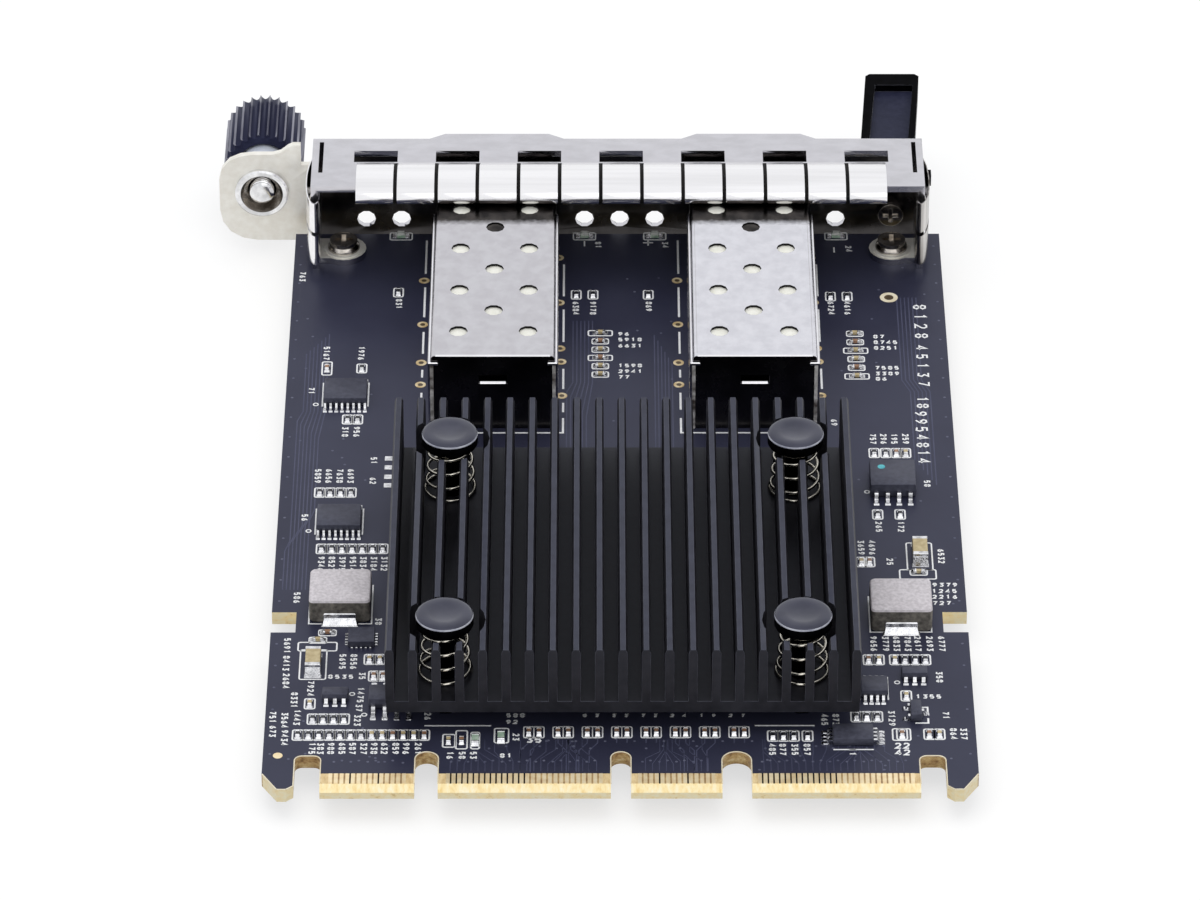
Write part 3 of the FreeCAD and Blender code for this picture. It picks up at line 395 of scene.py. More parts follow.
class Build:
    """Collects closed shapes of several materials into one piece, in card millimetres."""

    def __init__(self, name, *mats):
        self.name, self.mats = name, mats
        self.verts, self.faces, self.index = [], [], []

    def add(self, verts, faces, mat=0):
        base = len(self.verts)
        self.verts += verts
        self.faces += [[base + i for i in f] for f in faces]
        self.index += [mat] * len(faces)

    def layers(self, rings, mat=0, cap=True, top=None, bands=()):
        """Skin over rings of equal length, with end faces; top is the last ring's material and
        bands holds (first, last, material) for runs of rings in another finish."""
        verts = [p for ring in rings for p in ring]
        k = len(rings[0])
        faces = [(j * k + i, j * k + (i + 1) % k, (j + 1) * k + (i + 1) % k, (j + 1) * k + i)
                 for j in range(len(rings) - 1) for i in range(k)]
        self.add(verts, faces, mat)
        start = len(self.index) - len(faces)
        for low, high, other in bands:
            self.index[start + low * k:start + high * k] = [other] * ((high - low) * k)
        if cap:
            end = len(self.verts)
            base = end - len(verts)
            self.faces += [list(reversed(range(base, base + k))), list(range(end - k, end))]
            self.index += [mat, mat if top is None else top]

    def block(self, x0, x1, y0, y1, z0, z1, mat=0, top=None, inset=0.0):
        """Box between two places along x and y, in either order; inset bevels its upper edge."""
        x0, x1 = sorted((x0, x1))
        y0, y1 = sorted((y0, y1))
        levels = ((0.0, z0), (0.0, z1 - inset), (inset, z1)) if inset else ((0.0, z0), (0.0, z1))
        self.layers([[(x0 + a, y0 + a, z), (x1 - a, y0 + a, z), (x1 - a, y1 - a, z),
                      (x0 + a, y1 - a, z)] for a, z in levels], mat, top=top)

    def ribbon(self, points, width, z=0.03, closed=False):
        """Flat raised line of the given width through 2-D points."""
        points = [Vector(p) for p in points]
        rows = []
        for i, p in enumerate(points):
            after = points[(i + 1) % len(points)] - p if i < len(points) - 1 or closed else None
            before = p - points[i - 1] if i or closed else after
            d0, d1 = before.normalized(), (after or before).normalized()
            d = (d0 + d1).normalized()
            share = max(0.45, d.dot(d1))  # keeps sharp corners from running out
            across = Vector((-d.y, d.x)) * (width / 2 / share)
            a, b = p + across, p - across
            rows.append([(*a, SUNK), (*b, SUNK), (*b, z), (*a, z)])
        self.layers(rows + (rows[:1] if closed else []), cap=not closed)

    def disc(self, x, y, r, z=0.03, mat=0, inner=0.0, seg=20, low=SUNK):
        """Flat disc, or a flat ring where inner is given."""
        profile = [(r, low), (r, z)]
        if inner:
            profile += [(inner, z), (inner, low), (r, low)]
        self.layers([[(x + q * c, y + q * s, h) for c, s in ring_points(seg)]
                     for q, h in profile], mat, cap=not inner)

    def lathe(self, centre, axis, profile, seg=40, mat=0, closed=False, bands=()):
        """Turned shape: profile is (radius, distance along the axis); closed joins its ends."""
        axis = Vector(axis)
        side = axis.orthogonal().normalized()
        other = axis.cross(side)
        self.layers([[Vector(centre) + axis * h + (side * c + other * s) * r
                      for c, s in ring_points(seg)]
                     for r, h in profile + (profile[:1] if closed else [])],
                    mat, cap=not closed, bands=bands)

    def extrude(self, outline, start, end):
        """Prism across the card of an outline in y and z."""
        self.layers([[(x, *p) for p in outline] for x in (start, end)])

    def plate(self, outlines, z0, z1, at):
        """Flat sheet with holes from closed 2-D outlines, filled by a curve; at maps (u, v, w)."""
        curve = bpy.data.curves.new("sheet", "CURVE")
        curve.dimensions = "2D"
        curve.fill_mode = "BOTH"
        curve.extrude = (z1 - z0) / 2
        for outline in outlines:
            spline = curve.splines.new("POLY")
            spline.points.add(len(outline) - 1)
            spline.use_cyclic_u = True
            for point, (u, v) in zip(spline.points, outline):
                point.co = (u, v, 0, 1)
        ob = bpy.data.objects.new("sheet", curve)
        me = bpy.data.meshes.new_from_object(ob)
        mid = (z0 + z1) / 2
        self.add([at(v.co.x, v.co.y, mid + v.co.z) for v in me.vertices],
                 [tuple(p.vertices) for p in me.polygons])
        bpy.data.objects.remove(ob)
        bpy.data.curves.remove(curve)
        bpy.data.meshes.remove(me)

    def tube(self, path, radius, seg=10):
        """Round wire along a path of points."""
        rings, normal = [], None
        for i, p in enumerate(path):
            d = (path[min(i + 1, len(path) - 1)] - path[max(i - 1, 0)]).normalized()
            normal = d.orthogonal() if normal is None else normal - d * normal.dot(d)
            normal.normalize()
            other = d.cross(normal)
            rings.append([p + (normal * c + other * s) * radius for c, s in ring_points(seg)])
        self.layers(rings)

    def make(self, body="card", replaces=(), slot=None, bevel=0.0, segments=2, angle=35):
        """Turns the collected shapes into an object; slot, the material slot it would fill, is not used.
        """
        me = bpy.data.meshes.new(self.name)
        me.from_pydata([P(*v) for v in self.verts], [], self.faces)
        for name in self.mats:
            me.materials.append(M[name])
        me.polygons.foreach_set("material_index", self.index)
        bm = bmesh.new()
        bm.from_mesh(me)
        bmesh.ops.recalc_face_normals(bm, faces=bm.faces)
        bm.to_mesh(me)
        bm.free()
        present(me, self.name, body, replaces, slot, bevel, segments, angle)

    def stand_for(self, node, body="card", **more):
        """Shows the piece in the place of one CAD node."""
        self.make(body, (node,), SLOTS[node], **more)


def present(me, name, body, replaces, slot, bevel, segments, angle):
    """Shades a mesh smooth up to an angle, rounds its edges and joins it to its body."""
    for p in me.polygons:
        p.use_smooth = True
    me.set_sharp_from_angle(angle=math.radians(angle))
    ob = linked(name, me)
    if bevel:
        mod = ob.modifiers.new("bevel", "BEVEL")
        mod.width = bevel * MM
        mod.segments = segments
        mod.limit_method = "ANGLE"
        mod.angle_limit = math.radians(angle)
        mod.harden_normals = True
    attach(ob, body)
    if replaces:
        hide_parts(*replaces)
    return ob


SLOTS = {s["node"]: s["material_slot"] for s in frame["record"]["subparts"]}
SMOOTH_ANGLE = 40  # degrees; edges of the CAD copies sharper than this are rounded


def paint(node, mat):
    """Gives a CAD node's own mesh a finish."""
    me = nodes[node].data
    me.materials.clear()
    me.materials.append(M[mat])


def soften(node, mats, bevel, segments=2, pick=None, rim=-1, cut=None):
    """A finished copy of a CAD node: merged, cleaned, edges rounded, shaded smooth by angle.
    pick names the finish of each face, rim the finish of the rounded edges, and cut a place
    across the card where faces are divided so that the finish can change."""
    me = nodes[node].data.copy()
    me.materials.clear()
    for name in mats:
        me.materials.append(M[name])
    bm = merged(node)
    if cut is not None:
        bmesh.ops.triangulate(bm, faces=bm.faces)
        bmesh.ops.bisect_plane(bm, geom=bm.verts[:] + bm.edges[:] + bm.faces[:], dist=1e-6,
                               plane_co=P(cut, 0), plane_no=(1, 0, 0))
    bm.normal_update()
    for f in bm.faces:
        f.material_index = pick(f, (f.calc_center_median() - ORIGIN) / MM) if pick else 0
    bm.to_mesh(me)
    bm.free()
    ob = present(me, node + "_finish", "card", (node,), SLOTS[node], bevel, segments,
                 SMOOTH_ANGLE)
    ob.modifiers["bevel"].material = rim


# ---- board, gold and copper
BANKS = ((-26.8, 14), (-10.15, 28), (5.97, 14), (22.87, 28))  # gold fingers: centre, count
FINGER_PITCH = 0.6
VIA = 0.15  # radius of a filled via
VIA_HIGH, TRACE_HIGH = 0.012, 0.008  # copper that shows as soft ridges under the mask
VIAS = 70  # stitching vias scattered over the open areas
OPEN_AREAS = ((-36.6, -27.0, 58, 100), (-36.6, -22, 4, 12), (25.5, 36.8, 64, 104),
              (-5.6, 6.4, 60, 107), (14, 36, 3, 12), (26.5, 36.8, 30, 60), (-20, 12, 7.5, 9))
PORTS = [(card_box(n)[0].x + card_box(n)[1].x) / 2 for n in ("cage_left", "cage_right")]
PINS = [(round((b[0] + b[1]) / 2, 2), round((b[2] + b[3]) / 2, 2)) for b in islands("push_pins")]


def rounded(x0, x1, y0, y1, r=0.2, per=3):
    """Closed outline of a rectangle with rounded corners."""
    out = []
    for cx, cy, turn in ((x1 - r, y1 - r, 0), (x0 + r, y1 - r, 1), (x0 + r, y0 + r, 2),
                         (x1 - r, y0 + r, 3)):
        for c, s in ring_points(per, turn * math.pi / 2, math.pi / 2):
            out.append((cx + r * c, cy + r * s))
    return out


def over_fingers(x, margin):
    """True where x lies above a bank of fingers, clear of the slots beside it."""
    return any(abs(x - centre) < count * FINGER_PITCH / 2 - margin for centre, count in BANKS)


def copper():
    """Vias and traces under the mask."""
    b = Build("copper_under_mask", "trace", "via")
    rng = random.Random(11)

    def via(x, y):
        b.disc(x, y, VIA, VIA_HIGH, 1, seg=10)

    def trace(*points, width=0.14):
        b.ribbon(points, width, TRACE_HIGH)
    for side in (-1, 1):  # a row at each edge, with one place left out
        for i in range(26):
            if i != 6:
                via(side * 37.25, 6.0 + 4.05 * i)
    for centre, count in BANKS:  # paired vias above each finger bank
        for i in range(int(count * FINGER_PITCH / 1.8)):
            x = centre - count * FINGER_PITCH / 2 + 0.6 + 1.8 * i
            for dx in (0.0, 0.85):
                via(x + dx, 4.6 + 0.25 * dx)
            via(x + 0.4, 7.0 + 0.4 * (i % 2))
    for i in range(8):  # pairs running down to the fingers
        x = -9.75 + 3.13 * i
        slant = 0.9 if i % 2 else -0.9
        over = over_fingers(x + 0.55 + slant, 1.0)
        for dx in (0.0, 1.1):
            low = [(x + dx + slant, 6.6), (x + dx + slant, 2.8)] if over else []
            trace((x + dx, 9.2), (x + dx, 8.0), *low, width=0.13)
        via(x + 1.9, 8.3)
    for i in range(72):  # finer ones that fan out above the fingers
        x = -21.0 + 0.74 * i
        slant = 1.6 * math.sin(0.45 * i)
        if over_fingers(x, 0.5) and over_fingers(x + slant, 0.2):
            trace((x, 2.9), (x, 4.2 + 0.5 * (i % 3)), (x + slant, 6.4 + 0.4 * (i % 2)),
                  (x + slant, 8.6), width=0.08)
    for k in range(7):  # bundle beside the left cage
        x = -37.0 + 0.42 * k
        trace((x, 36.5), (x, 44.0 + k), (x + 0.5, 46.0 + k), (x + 0.5, 70.0 - 0.6 * k),
              (x + 1.1, 72.0), (x + 1.1, 84.0 + 0.7 * k))
    for k in range(6):  # bundles between the cages and at the right edge
        x = -5.9 + 0.45 * k
        trace((x, 60.5), (x, 76.0 - k), (x + 0.7, 78.0), (x + 0.7, 91.0))
        trace((4.2 + 0.4 * k, 61.0), (4.2 + 0.4 * k, 88.0 - 1.2 * k))
        x = 33.4 + 0.45 * k
        trace((x, 62.0 - k), (x, 76.0), (x - 0.9, 78.5), (x - 0.9, 96.0))
    for _ in range(VIAS):
        x0, x1, y0, y1 = rng.choice(OPEN_AREAS)
        via(rng.uniform(x0, x1), rng.uniform(y0, y1))
    b.make(slot="board")


def finger_gaps():
    """Bare laminate between the gold fingers, some of it painted in shade."""
    low, high = (p.y for p in card_box("edge_contacts_top"))
    b = Build("edge_fill", "gap", "shade")
    for centre, count in BANKS:
        for i in range(count - 1):
            x = centre + FINGER_PITCH * (i + 1 - count / 2)
            # the gaps picked here take painted shade
            dark = i < count / 2 if count > 14 else i % 5 == 3
            b.block(x - 0.08, x + 0.08, low, high, -0.02, 0.012, 1 if dark else 0)
    b.make(slot="gold")


def cut_rims():
    """Pale line where the mask draws back from the milled edges near the fingers."""
    b = Build("cut_rims", "cream")
    half, reach = 0.07, 7.0  # of the line, and how far along the card it goes
    low, high = card_box("pcb")
    bm = merged("pcb")
    for edge in bm.edges:
        ends = [(v.co - ORIGIN) / MM for v in edge.verts]
        flats = [f for f in edge.link_faces if f.normal.z > 0.98]
        walls = [f for f in edge.link_faces if abs(f.normal.z) < 0.5]
        if flats and walls and max(p.y for p in ends) < reach and min(p.z for p in ends) > -0.1:
            for p in ends:  # keeps the line's own width inside the board
                p.x = min(max(p.x, low.x + half), high.x - half)
                p.y = max(p.y, low.y + half)
            b.tube(ends, half, 6)
    bm.free()
    b.make(slot="board")


def pads():
    """Test pads, bare copper and the plated holes beside the cages."""
    b = Build("bare_pads", "gold", "cream", "ring", "tin", "hollow")

    def hole(x, y, r=0.62, bore=0.3, mat=2):
        b.disc(x, y, r, mat=mat, inner=bore)
        # the bore is a flat disc: the plating's dark tone plus painted shade down the hole
        b.disc(x, y, bore, 0.02, 4)
    b.disc(-36.4, 5.7, 0.52)
    hole(31.6, 96.0, 1.05, 0.55, 1)
    for y in (62.3, 60.5, 58.6, 56.9):
        b.block(-26.35, -25.25, y - 0.42, y + 0.42, 0, 0.06, 3)
    for c in PORTS:
        for y in (99.7, 90.2, 82.1, 77.5):
            hole(c - 8.45, y)
        for k, y in enumerate((104.7, 94.9, 85.1, 82.3, 75.2)):
            hole(c + 7.27 + 0.12 * k, y)
    b.make(slot="gold")


# ---- printed marks
DIGITS = {  # each digit's one stroke, as shares of its height
    1: ((0.1, 0.8), (0.32, 1), (0.32, 0)),
    2: ((0, 0.8), (0.15, 1), (0.45, 1), (0.6, 0.8), (0.55, 0.55), (0, 0), (0.6, 0)),
    3: ((0, 1), (0.58, 1), (0.3, 0.6), (0.6, 0.35), (0.45, 0), (0, 0.05)),
    4: ((0.45, 0), (0.45, 1), (0, 0.3), (0.65, 0.3)),
    5: ((0.55, 1), (0.06, 1), (0, 0.55), (0.45, 0.6), (0.6, 0.3), (0.45, 0), (0, 0.06)),
    6: ((0.5, 1), (0.12, 0.65), (0, 0.25), (0.2, 0), (0.5, 0.04), (0.6, 0.3), (0.4, 0.52),
        (0.05, 0.42)),
    7: ((0, 1), (0.6, 1), (0.2, 0)),
    8: ((0.15, 0), (0.45, 0), (0.6, 0.25), (0, 0.75), (0.15, 1), (0.45, 1), (0.6, 0.75), (0, 0.25),
        (0.15, 0)),
    9: ((0.1, 0), (0.48, 0.35), (0.6, 0.75), (0.4, 1), (0.1, 0.96), (0, 0.7), (0.2, 0.48),
        (0.55, 0.58)),
}


class Marks(Build):
    """White ink: plain numbers, outlines, bars and rings."""

    def __init__(self, name):
        super().__init__(name, "silk")
        self.rng = random.Random(5)

    def number(self, x, y, count, high=0.58, down=True, step=0.74):
        """A plain number; down reads towards the card edge, starting at its top."""
        for i in range(count):
            path = []
            for u, v in DIGITS[self.rng.randrange(1, 10)]:
                u, v = u * high + i * step, v * high
                path.append((x - high / 2 + v, y - u) if down else (x + u, y + v))
            self.ribbon(path, 0.16 if high < 0.8 else 0.2)

    def bar(self, *points, width=0.17):
        self.ribbon(points, width)

    def cell(self, x0, x1, y0, y1, width=0.17):
        self.ribbon(rounded(x0, x1, y0, y1), width, closed=True)


def steps(first, step, count):
    return [first + step * i for i in range(count)]


# x, top and count of digits of the numbers that read towards the card edge
NUMBERS_DOWN = (
    (-36.1, 27.2, 4), (-36.1, 23.9, 4), (-36.0, 20.6, 4), (-33.3, 19.2, 4), (-27.9, 18.0, 4),
    (-28.0, 14.9, 2), (-28.1, 13.0, 3), (-35.0, 17.1, 4), (-34.6, 13.9, 4), (-35.9, 13.4, 4),
    (-35.8, 10.2, 4), (-37.2, 13.6, 3), (-37.1, 11.0, 3), (-27.8, 20.8, 2), (-20.6, 13.4, 2),
    (-27.6, 62.5, 2), (-27.6, 58.4, 2), (-35.0, 51.1, 2), (-35.35, 35.9, 3), (-26.3, 31.0, 2),
    (-25.5, 95.6, 3), (-33.6, 85.4, 4), (-29.6, 85.4, 4), (-35.1, 76.8, 2), (-2.3, 108.1, 2),
    (5.6, 108.1, 2), (27.2, 107.2, 2), (3.6, 95.0, 3), (24.5, 70.2, 2), (34.6, 57.8, 2),
    (28.9, 49.6, 3), (31.35, 49.6, 3), (28.0, 45.9, 4), (26.8, 45.9, 4), (29.9, 42.4, 2),
    (35.6, 44.2, 4), (34.5, 20.9, 3), (29.1, 13.7, 4), (34.9, 13.5, 2), (21.9, 13.1, 3),
    (23.1, 13.1, 3), (24.7, 6.9, 2), (35.6, 10.5, 3), (36.7, 10.5, 3), (-11.1, 9.6, 2),
    (-36.9, 101.5, 3))
# places across, top and count of digits of rows of such numbers
NUMBER_ROWS = (
    ((-32.8, -31.9, -30.8, -29.6, -28.5, -27.3, -26.2, -25.1, -23.9, -22.8, -21.5), 7.9, 3),
    ((-30.0, -28.8), 24.2, 4), ((-31.0, -29.7), 68.7, 3), (steps(-33.8, 1.23, 4), 60.1, 4),
    (steps(-32.9, 1.16, 7), 42.8, 4), ((-4.9, -2.9, 24.8, 26.7), 95.0, 4),
    ((28.8, 30.0, 31.2, 32.5), 67.2, 3), ((27.6, 28.9, 30.1, 31.3, 32.4, 33.7, 35.0), 27.5, 4),
    ((16.2, 17.3, 18.6, 19.9), 7.7, 3), ((-18.1, -16.8, -15.6), 6.3, 2))
# x, y and count of digits of the numbers that read across
NUMBERS_ACROSS = (
    (-31.4, 19.8, 4), (-12.1, 12.7, 3), (-12.1, 11.5, 2), (31.9, 16.1, 4), (0.1, 87.9, 2),
    (0.1, 86.7, 4), (0.1, 85.4, 4), (0.1, 81.2, 4), (0.1, 80.0, 4), (0.1, 78.8, 2),
    (29.6, 87.3, 2), (29.6, 86.1, 4), (29.6, 84.9, 4), (29.6, 80.7, 4), (29.6, 79.5, 4),
    (29.6, 78.4, 2), (34.5, 37.1, 4), (34.4, 35.9, 4), (34.4, 34.8, 4), (34.4, 33.6, 3),
    (-12.7, 5.4, 2))


def print_numbers(m):
    """All the numbers, in the order in which their digits are drawn."""
    for x, y, count in NUMBERS_DOWN:
        m.number(x, y, count)
    for places, y, count in NUMBER_ROWS:
        for x in places:
            m.number(x, y, count)
    for x, y, count, high, step in ((35.1, 94.3, 4, 1.3, 2.05), (35.0, 85.6, 5, 1.15, 1.9),
                                    (34.7, 74.8, 2, 1.15, 1.4), (34.4, 71.8, 7, 1.2, 1.6)):
        m.number(x, y, count, high, step=step)
    for x, y, count in NUMBERS_ACROSS:
        m.number(x, y, count, down=False)
    for x, y in ((29.35, 7.0), (29.35, 5.8), (-9.9, 8.1)):
        m.number(x, y, 2, 0.85, down=False, step=0.9)
    for i in range(6):
        for x in (-3.9, -2.6):
            m.number(x + 3.13 * i, 12.75, 1, 0.42, down=False)


def print_lines(m):
    """Rings, bars, frames and the broken outlines of the cages."""
    for x, y in ((-27.4, 13.1), (-34.5, 47.9), (27.8, 55.6), (29.9, 19.0), (-34.5, 73.4),
                 (-28.8, 16.9)):
        m.disc(x, y, 0.34, inner=0.2, seg=14)  # marks pin one
    for x, y0, y1 in ((-33.75, 47.2, 52.3), (-28.5, 47.2, 52.3), (-33.75, 73.0, 77.9),
                      (-28.55, 73.0, 77.9), (28.85, 15.8, 20.0), (25.8, 15.8, 20.0)):
        m.bar((x, y0), (x, y1))
    for x0, x1, y in ((-20.9, -13.8, 11.1), (14.4, 20.8, 11.1), (22.7, 27.0, 6.75)):
        m.bar((x0, y), (x1, y))
    m.bar((-33.9, 37.4), (-33.9, 30.0), (-27.05, 30.0), (-27.05, 37.4), width=0.16)
    m.bar((27.3, 35.2), (27.3, 28.4), (34.0, 28.4), (34.0, 32.3), width=0.16)
    m.cell(-34.6, -31.75, 19.6, 25.1, 0.16)
    m.cell(31.8, 34.6, 40.3, 45.5, 0.16)
    for sides in ((-34.9, -30.7, 24.9, 26.5), (30.9, 34.9, 38.5, 40.3), (-18.9, -17.6, 7.2, 9.5),
                  (-17.5, -16.3, 6.9, 10.2), (-15.9, -15.0, 6.9, 9.9), (-13.4, -11.9, 8.0, 10.6),
                  (29.1, 31.0, 8.4, 10.5)):
        m.cell(*sides)
    m.bar((31.6, 11.54), (33.0, 11.54), (33.0, 12.4), width=0.2)  # the transistor's corners
    m.bar((32.4, 14.4), (33.0, 14.4), (33.0, 13.6), width=0.2)
    for x, y in ((-3.9, 107.8), (25.5, 106.4)):  # minus and plus beside the port lights
        m.bar((x, y + 0.55), (x, y - 0.55), width=0.18)
    m.bar((3.0, 108.0), (4.2, 108.0), width=0.18)
    m.bar((3.6, 108.6), (3.6, 107.4), width=0.18)
    for c in PORTS:
        left, right, rear = c - 8.3, c + 7.9, 67.55
        m.bar((left, rear + 3), (left, rear), (right, rear), (right, rear + 3), width=0.24)
        for x, stretches in ((left, ((72.3, 75.8), (79.0, 80.6), (84.0, 88.6), (91.8, 98.2),
                                     (101.2, 108.5))),
                             (right, ((71.8, 73.7), (76.6, 80.8), (86.5, 93.4), (96.3, 103.2)))):
            for y0, y1 in stretches:
                m.bar((x, y0), (x, y1), width=0.24)


# ---- two-terminal parts
def two_terminal(b, box, marks=None, body=0, lug=0.26, room=0.42, fat=0.0):
    """Ceramic part with plated ends, solder, pads and its printed cell. Materials: body, tin,
    solder. A part longer along x lies across; the rest lie along the card. lug is the length
    of a plated end, room that of the solder beyond it, and fat lengthens the cell."""
    x0, x1, y0, y1, _, high = box
    lies = (x1 - x0) > (y1 - y0)
    u0, u1, v0, v1 = (x0, x1, y0, y1) if lies else (y0, y1, x0, x1)

    def put(u0, u1, v0, v1, *more, **named):
        """A block; u runs along the part, v across it."""
        b.block(*((u0, u1, v0, v1) if lies else (v0, v1, u0, u1)), *more, **named)
    put(u0 + lug * 0.8, u1 - lug * 0.8, v0 + 0.03, v1 - 0.03, 0.03, high - 0.02, body, inset=0.04)
    for end, way in ((u0, 1), (u1, -1)):
        put(end, end + way * lug, v0, v1, 0.02, high, 1, inset=0.06)
        put(end - way * room, end + way * 0.1, v0 - 0.08, v1 + 0.08, SUNK, 0.05, 1)
        near, far = end - way * 0.02, end - way * room * 0.8
        foot = [(far, v0 - 0.04), (far, v1 + 0.04), (near, v1 + 0.02), (near, v0 - 0.02)]
        crest = [(near - way * 0.07, v0 + 0.05), (near - way * 0.07, v1 - 0.05),
                 (near + way * 0.02, v1 - 0.03), (near + way * 0.02, v0 + 0.03)]
        b.layers([[(u, v, z) if lies else (v, u, z) for u, v in ring]
                  for ring, z in ((foot, 0.04), (crest, high * 0.72))], 2)
    if marks:
        half_u, half_v = (u1 - u0) / 2 + 0.43 + fat, (v1 - v0) / 2 + 0.3
        w, l = (half_u, half_v) if lies else (half_v, half_u)
        mx, my = (x0 + x1) / 2, (y0 + y1) / 2
        marks.cell(mx - w, mx + w, my - l, my + l)


def parts_of(node, name, body, marks=None, bevel=0.0, **more):
    """One piece with a two-terminal part for each solid of a node."""
    b = Build(name, body, "tin", "solder")
    for box in islands(node):
        two_terminal(b, box, marks, **more)
    b.stand_for(node, bevel=bevel)


def capacitors(marks):
    """Chip capacitors fired tan or brown; a few have a wider printed cell or none."""
    b = Build("capacitors", "tan", "tin", "solder", "brown")
    for i, box in enumerate(islands("chip_capacitors")):
        stack = box[2] > 78 and box[3] < 90  # the columns beside the cages
        lone = 7 < box[2] and box[3] < 11 and abs(box[0] + 17) < 3
        two_terminal(b, box, None if lone else marks, 3 if (i * 7) % 5 < 2 else 0,
                     fat=0.45 if stack and i % 3 == 0 else 0.0)
    b.stand_for("chip_capacitors")


def pair_cells(marks):
    """A divided cell round each pair of coupling capacitors."""
    pairs = islands("coupling_capacitors")
    for left, right in zip(pairs[::2], pairs[1::2]):
        y0, y1, mid = left[2] - 0.5, left[3] + 0.5, (left[1] + right[0]) / 2
        marks.cell(left[0] - 0.28, right[1] + 0.28, y0, y1, 0.14)
        marks.bar((mid, y0), (mid, y1), width=0.13)


def lights(marks):
    """Status lights, and the port lights with their pale windows."""
    b = Build("lights", "lamp", "tin", "solder", "lamp_white")
    for box in islands("status_leds"):
        two_terminal(b, box)
    for x0, x1, y0, y1, _, high in islands("port_leds"):
        b.block(x0 + 0.3, x1 - 0.3, y0, y1, 0.04, high * 0.5, 0, inset=0.03)
        b.block(x0 + 0.35, x1 - 0.35, y0 + 0.15, y1, high * 0.5, high, 3, inset=0.1)
        for a, c in ((x0 - 0.25, x0 + 0.34), (x1 - 0.34, x1 + 0.25)):
            b.block(a, c, y0 - 0.05, y1 + 0.05, SUNK, 0.12, 1, inset=0.05)
        marks.cell(x0 - 0.5, x1 + 0.5, y0 - 0.35, y1 + 0.35)
    b.make(replaces=("port_leds", "status_leds"), slot=SLOTS["port_leds"])


# ---- chips
CHIPS = {  # body across the lead rows, along them, height, leads a side, pitch, lead width, turned
    "logic_chip_rear": (4.4, 5.0, 1.1, 8, 0.65, 0.25, False),
    "logic_chip_front": (4.4, 5.0, 1.1, 8, 0.65, 0.25, False),
    "flash_chip": (5.25, 5.2, 1.7, 4, 1.27, 0.42, False),
    "monitor_chip": (3.0, 3.0, 0.95, 4, 0.65, 0.30, False),
    "regulator_left": (1.6, 2.9, 1.0, 3, 0.95, 0.38, False),
    "regulator_right": (1.6, 2.9, 1.0, 3, 0.95, 0.38, False),
    "transistor": (1.3, 2.9, 1.0, 3, 0.95, 0.42, True),
    "driver_chip": (2.9, 4.9, 1.3, 4, 1.27, 0.42, False),
    "clock_chip": (4.4, 3.0, 0.95, 4, 0.65, 0.28, True),
}
MISSING_LEADS = {"transistor": {(-1, 1), (1, 0), (1, 2)}}


def gull_chip(node):
    """Moulded body with drafted sides and an index dimple, bent leads, solder and pads."""
    deep, wide, high, count, pitch, lead, turned = CHIPS[node]
    low, top = card_box(node)
    cx, cy = (low.x + top.x) / 2, (low.y + top.y) / 2
    span = (top.x - low.x) if turned else (top.y - low.y)
    b = Build(node + "_finish", "mould", "tin", "solder")

    def at(u, v, z):
        """u along a lead row, v across the chip."""
        return (cx + v, cy + u, z) if turned else (cx + u, cy + v, z)

    def ring(half_u, half_v, z, corner=0.12):
        return [at(u, v, z) for u, v in rounded(-half_u, half_u, -half_v, half_v, corner)]
    waist = 0.5 * high
    b.layers([ring(wide / 2 - 0.1, deep / 2 - 0.1, 0.1), ring(wide / 2, deep / 2, waist),
              ring(wide / 2, deep / 2, waist + 0.06),
              ring(wide / 2 - 0.09, deep / 2 - 0.09, high - 0.03),
              ring(wide / 2 - 0.13, deep / 2 - 0.13, high)])
    x, y, z = at(-wide / 2 + 0.5, -deep / 2 + 0.5, high)
    b.disc(x, y, 0.22, z + 0.012, inner=0.16, seg=16, low=z - 0.02)
    wall, toe, thick = deep / 2 - 0.05, span / 2, 0.13
    bend = wall + (toe - wall) * 0.42
    under = [(wall, waist), (bend - 0.08, waist), (bend, waist - 0.08), (bend + 0.06, 0.2),
             (bend + 0.16, 0.06), (toe, 0.06)]
    over = [(wall, waist + thick), (bend - 0.02, waist + thick), (bend + 0.1, waist - 0.02),
            (bend + 0.16, 0.27), (bend + 0.24, 0.06 + thick), (toe, 0.06 + thick)]
    pad = [(bend - 0.12, SUNK), (toe + 0.22, SUNK), (toe + 0.18, 0.05), (toe + 0.02, 0.12),
           (toe - 0.05, 0.06), (bend, 0.05)]
    pad_half = min(lead / 2 + 0.09, pitch / 2 - 0.07)
    for side in (-1, 1):
        for i in range(count):
            if (side, i) in MISSING_LEADS.get(node, ()):
                continue
            u = (i - (count - 1) / 2) * pitch
            for half, outline, mat in ((lead / 2, under + over[::-1], 1), (pad_half, pad, 2)):
                b.layers([[at(u + w, side * v, z) for v, z in outline] for w in (-half, half)], mat)
    b.stand_for(node)


def paint_dot():
    """Blue-green dot on the flash chip."""
    low, top = card_box("flash_chip")
    b = Build("paint_spot", "paint")
    b.disc(low.x + 1.35, top.y - 2.9, 0.42, top.z + 0.02, low=top.z - 0.01)
    b.make(slot="chip_mould")


def power_chip():
    """Leadless package: body with plated edges all round."""
    low, top = card_box("power_chip")
    b = Build("power_chip_finish", "mould", "tin", "solder")
    b.block(low.x, top.x, low.y, top.y, 0.02, top.z, inset=0.06)
    for k in range(-2, 3):
        x, y = (low.x + top.x) / 2 + 0.5 * k, (low.y + top.y) / 2 + 0.5 * k
        for way, side, end, high in ((-1, low.x, low.y, 0.22), (1, top.x, top.y, 0.14)):
            b.block(side - way * 0.02, side + way * 0.35, y - 0.13, y + 0.13, SUNK, 0.14, 1,
                    inset=0.04)
            b.block(x - 0.13, x + 0.13, end - way * 0.02, end + way * 0.35, SUNK, high, 1,
                    inset=0.05 if way < 0 else 0.04)
    b.stand_for("power_chip", bevel=0.03)


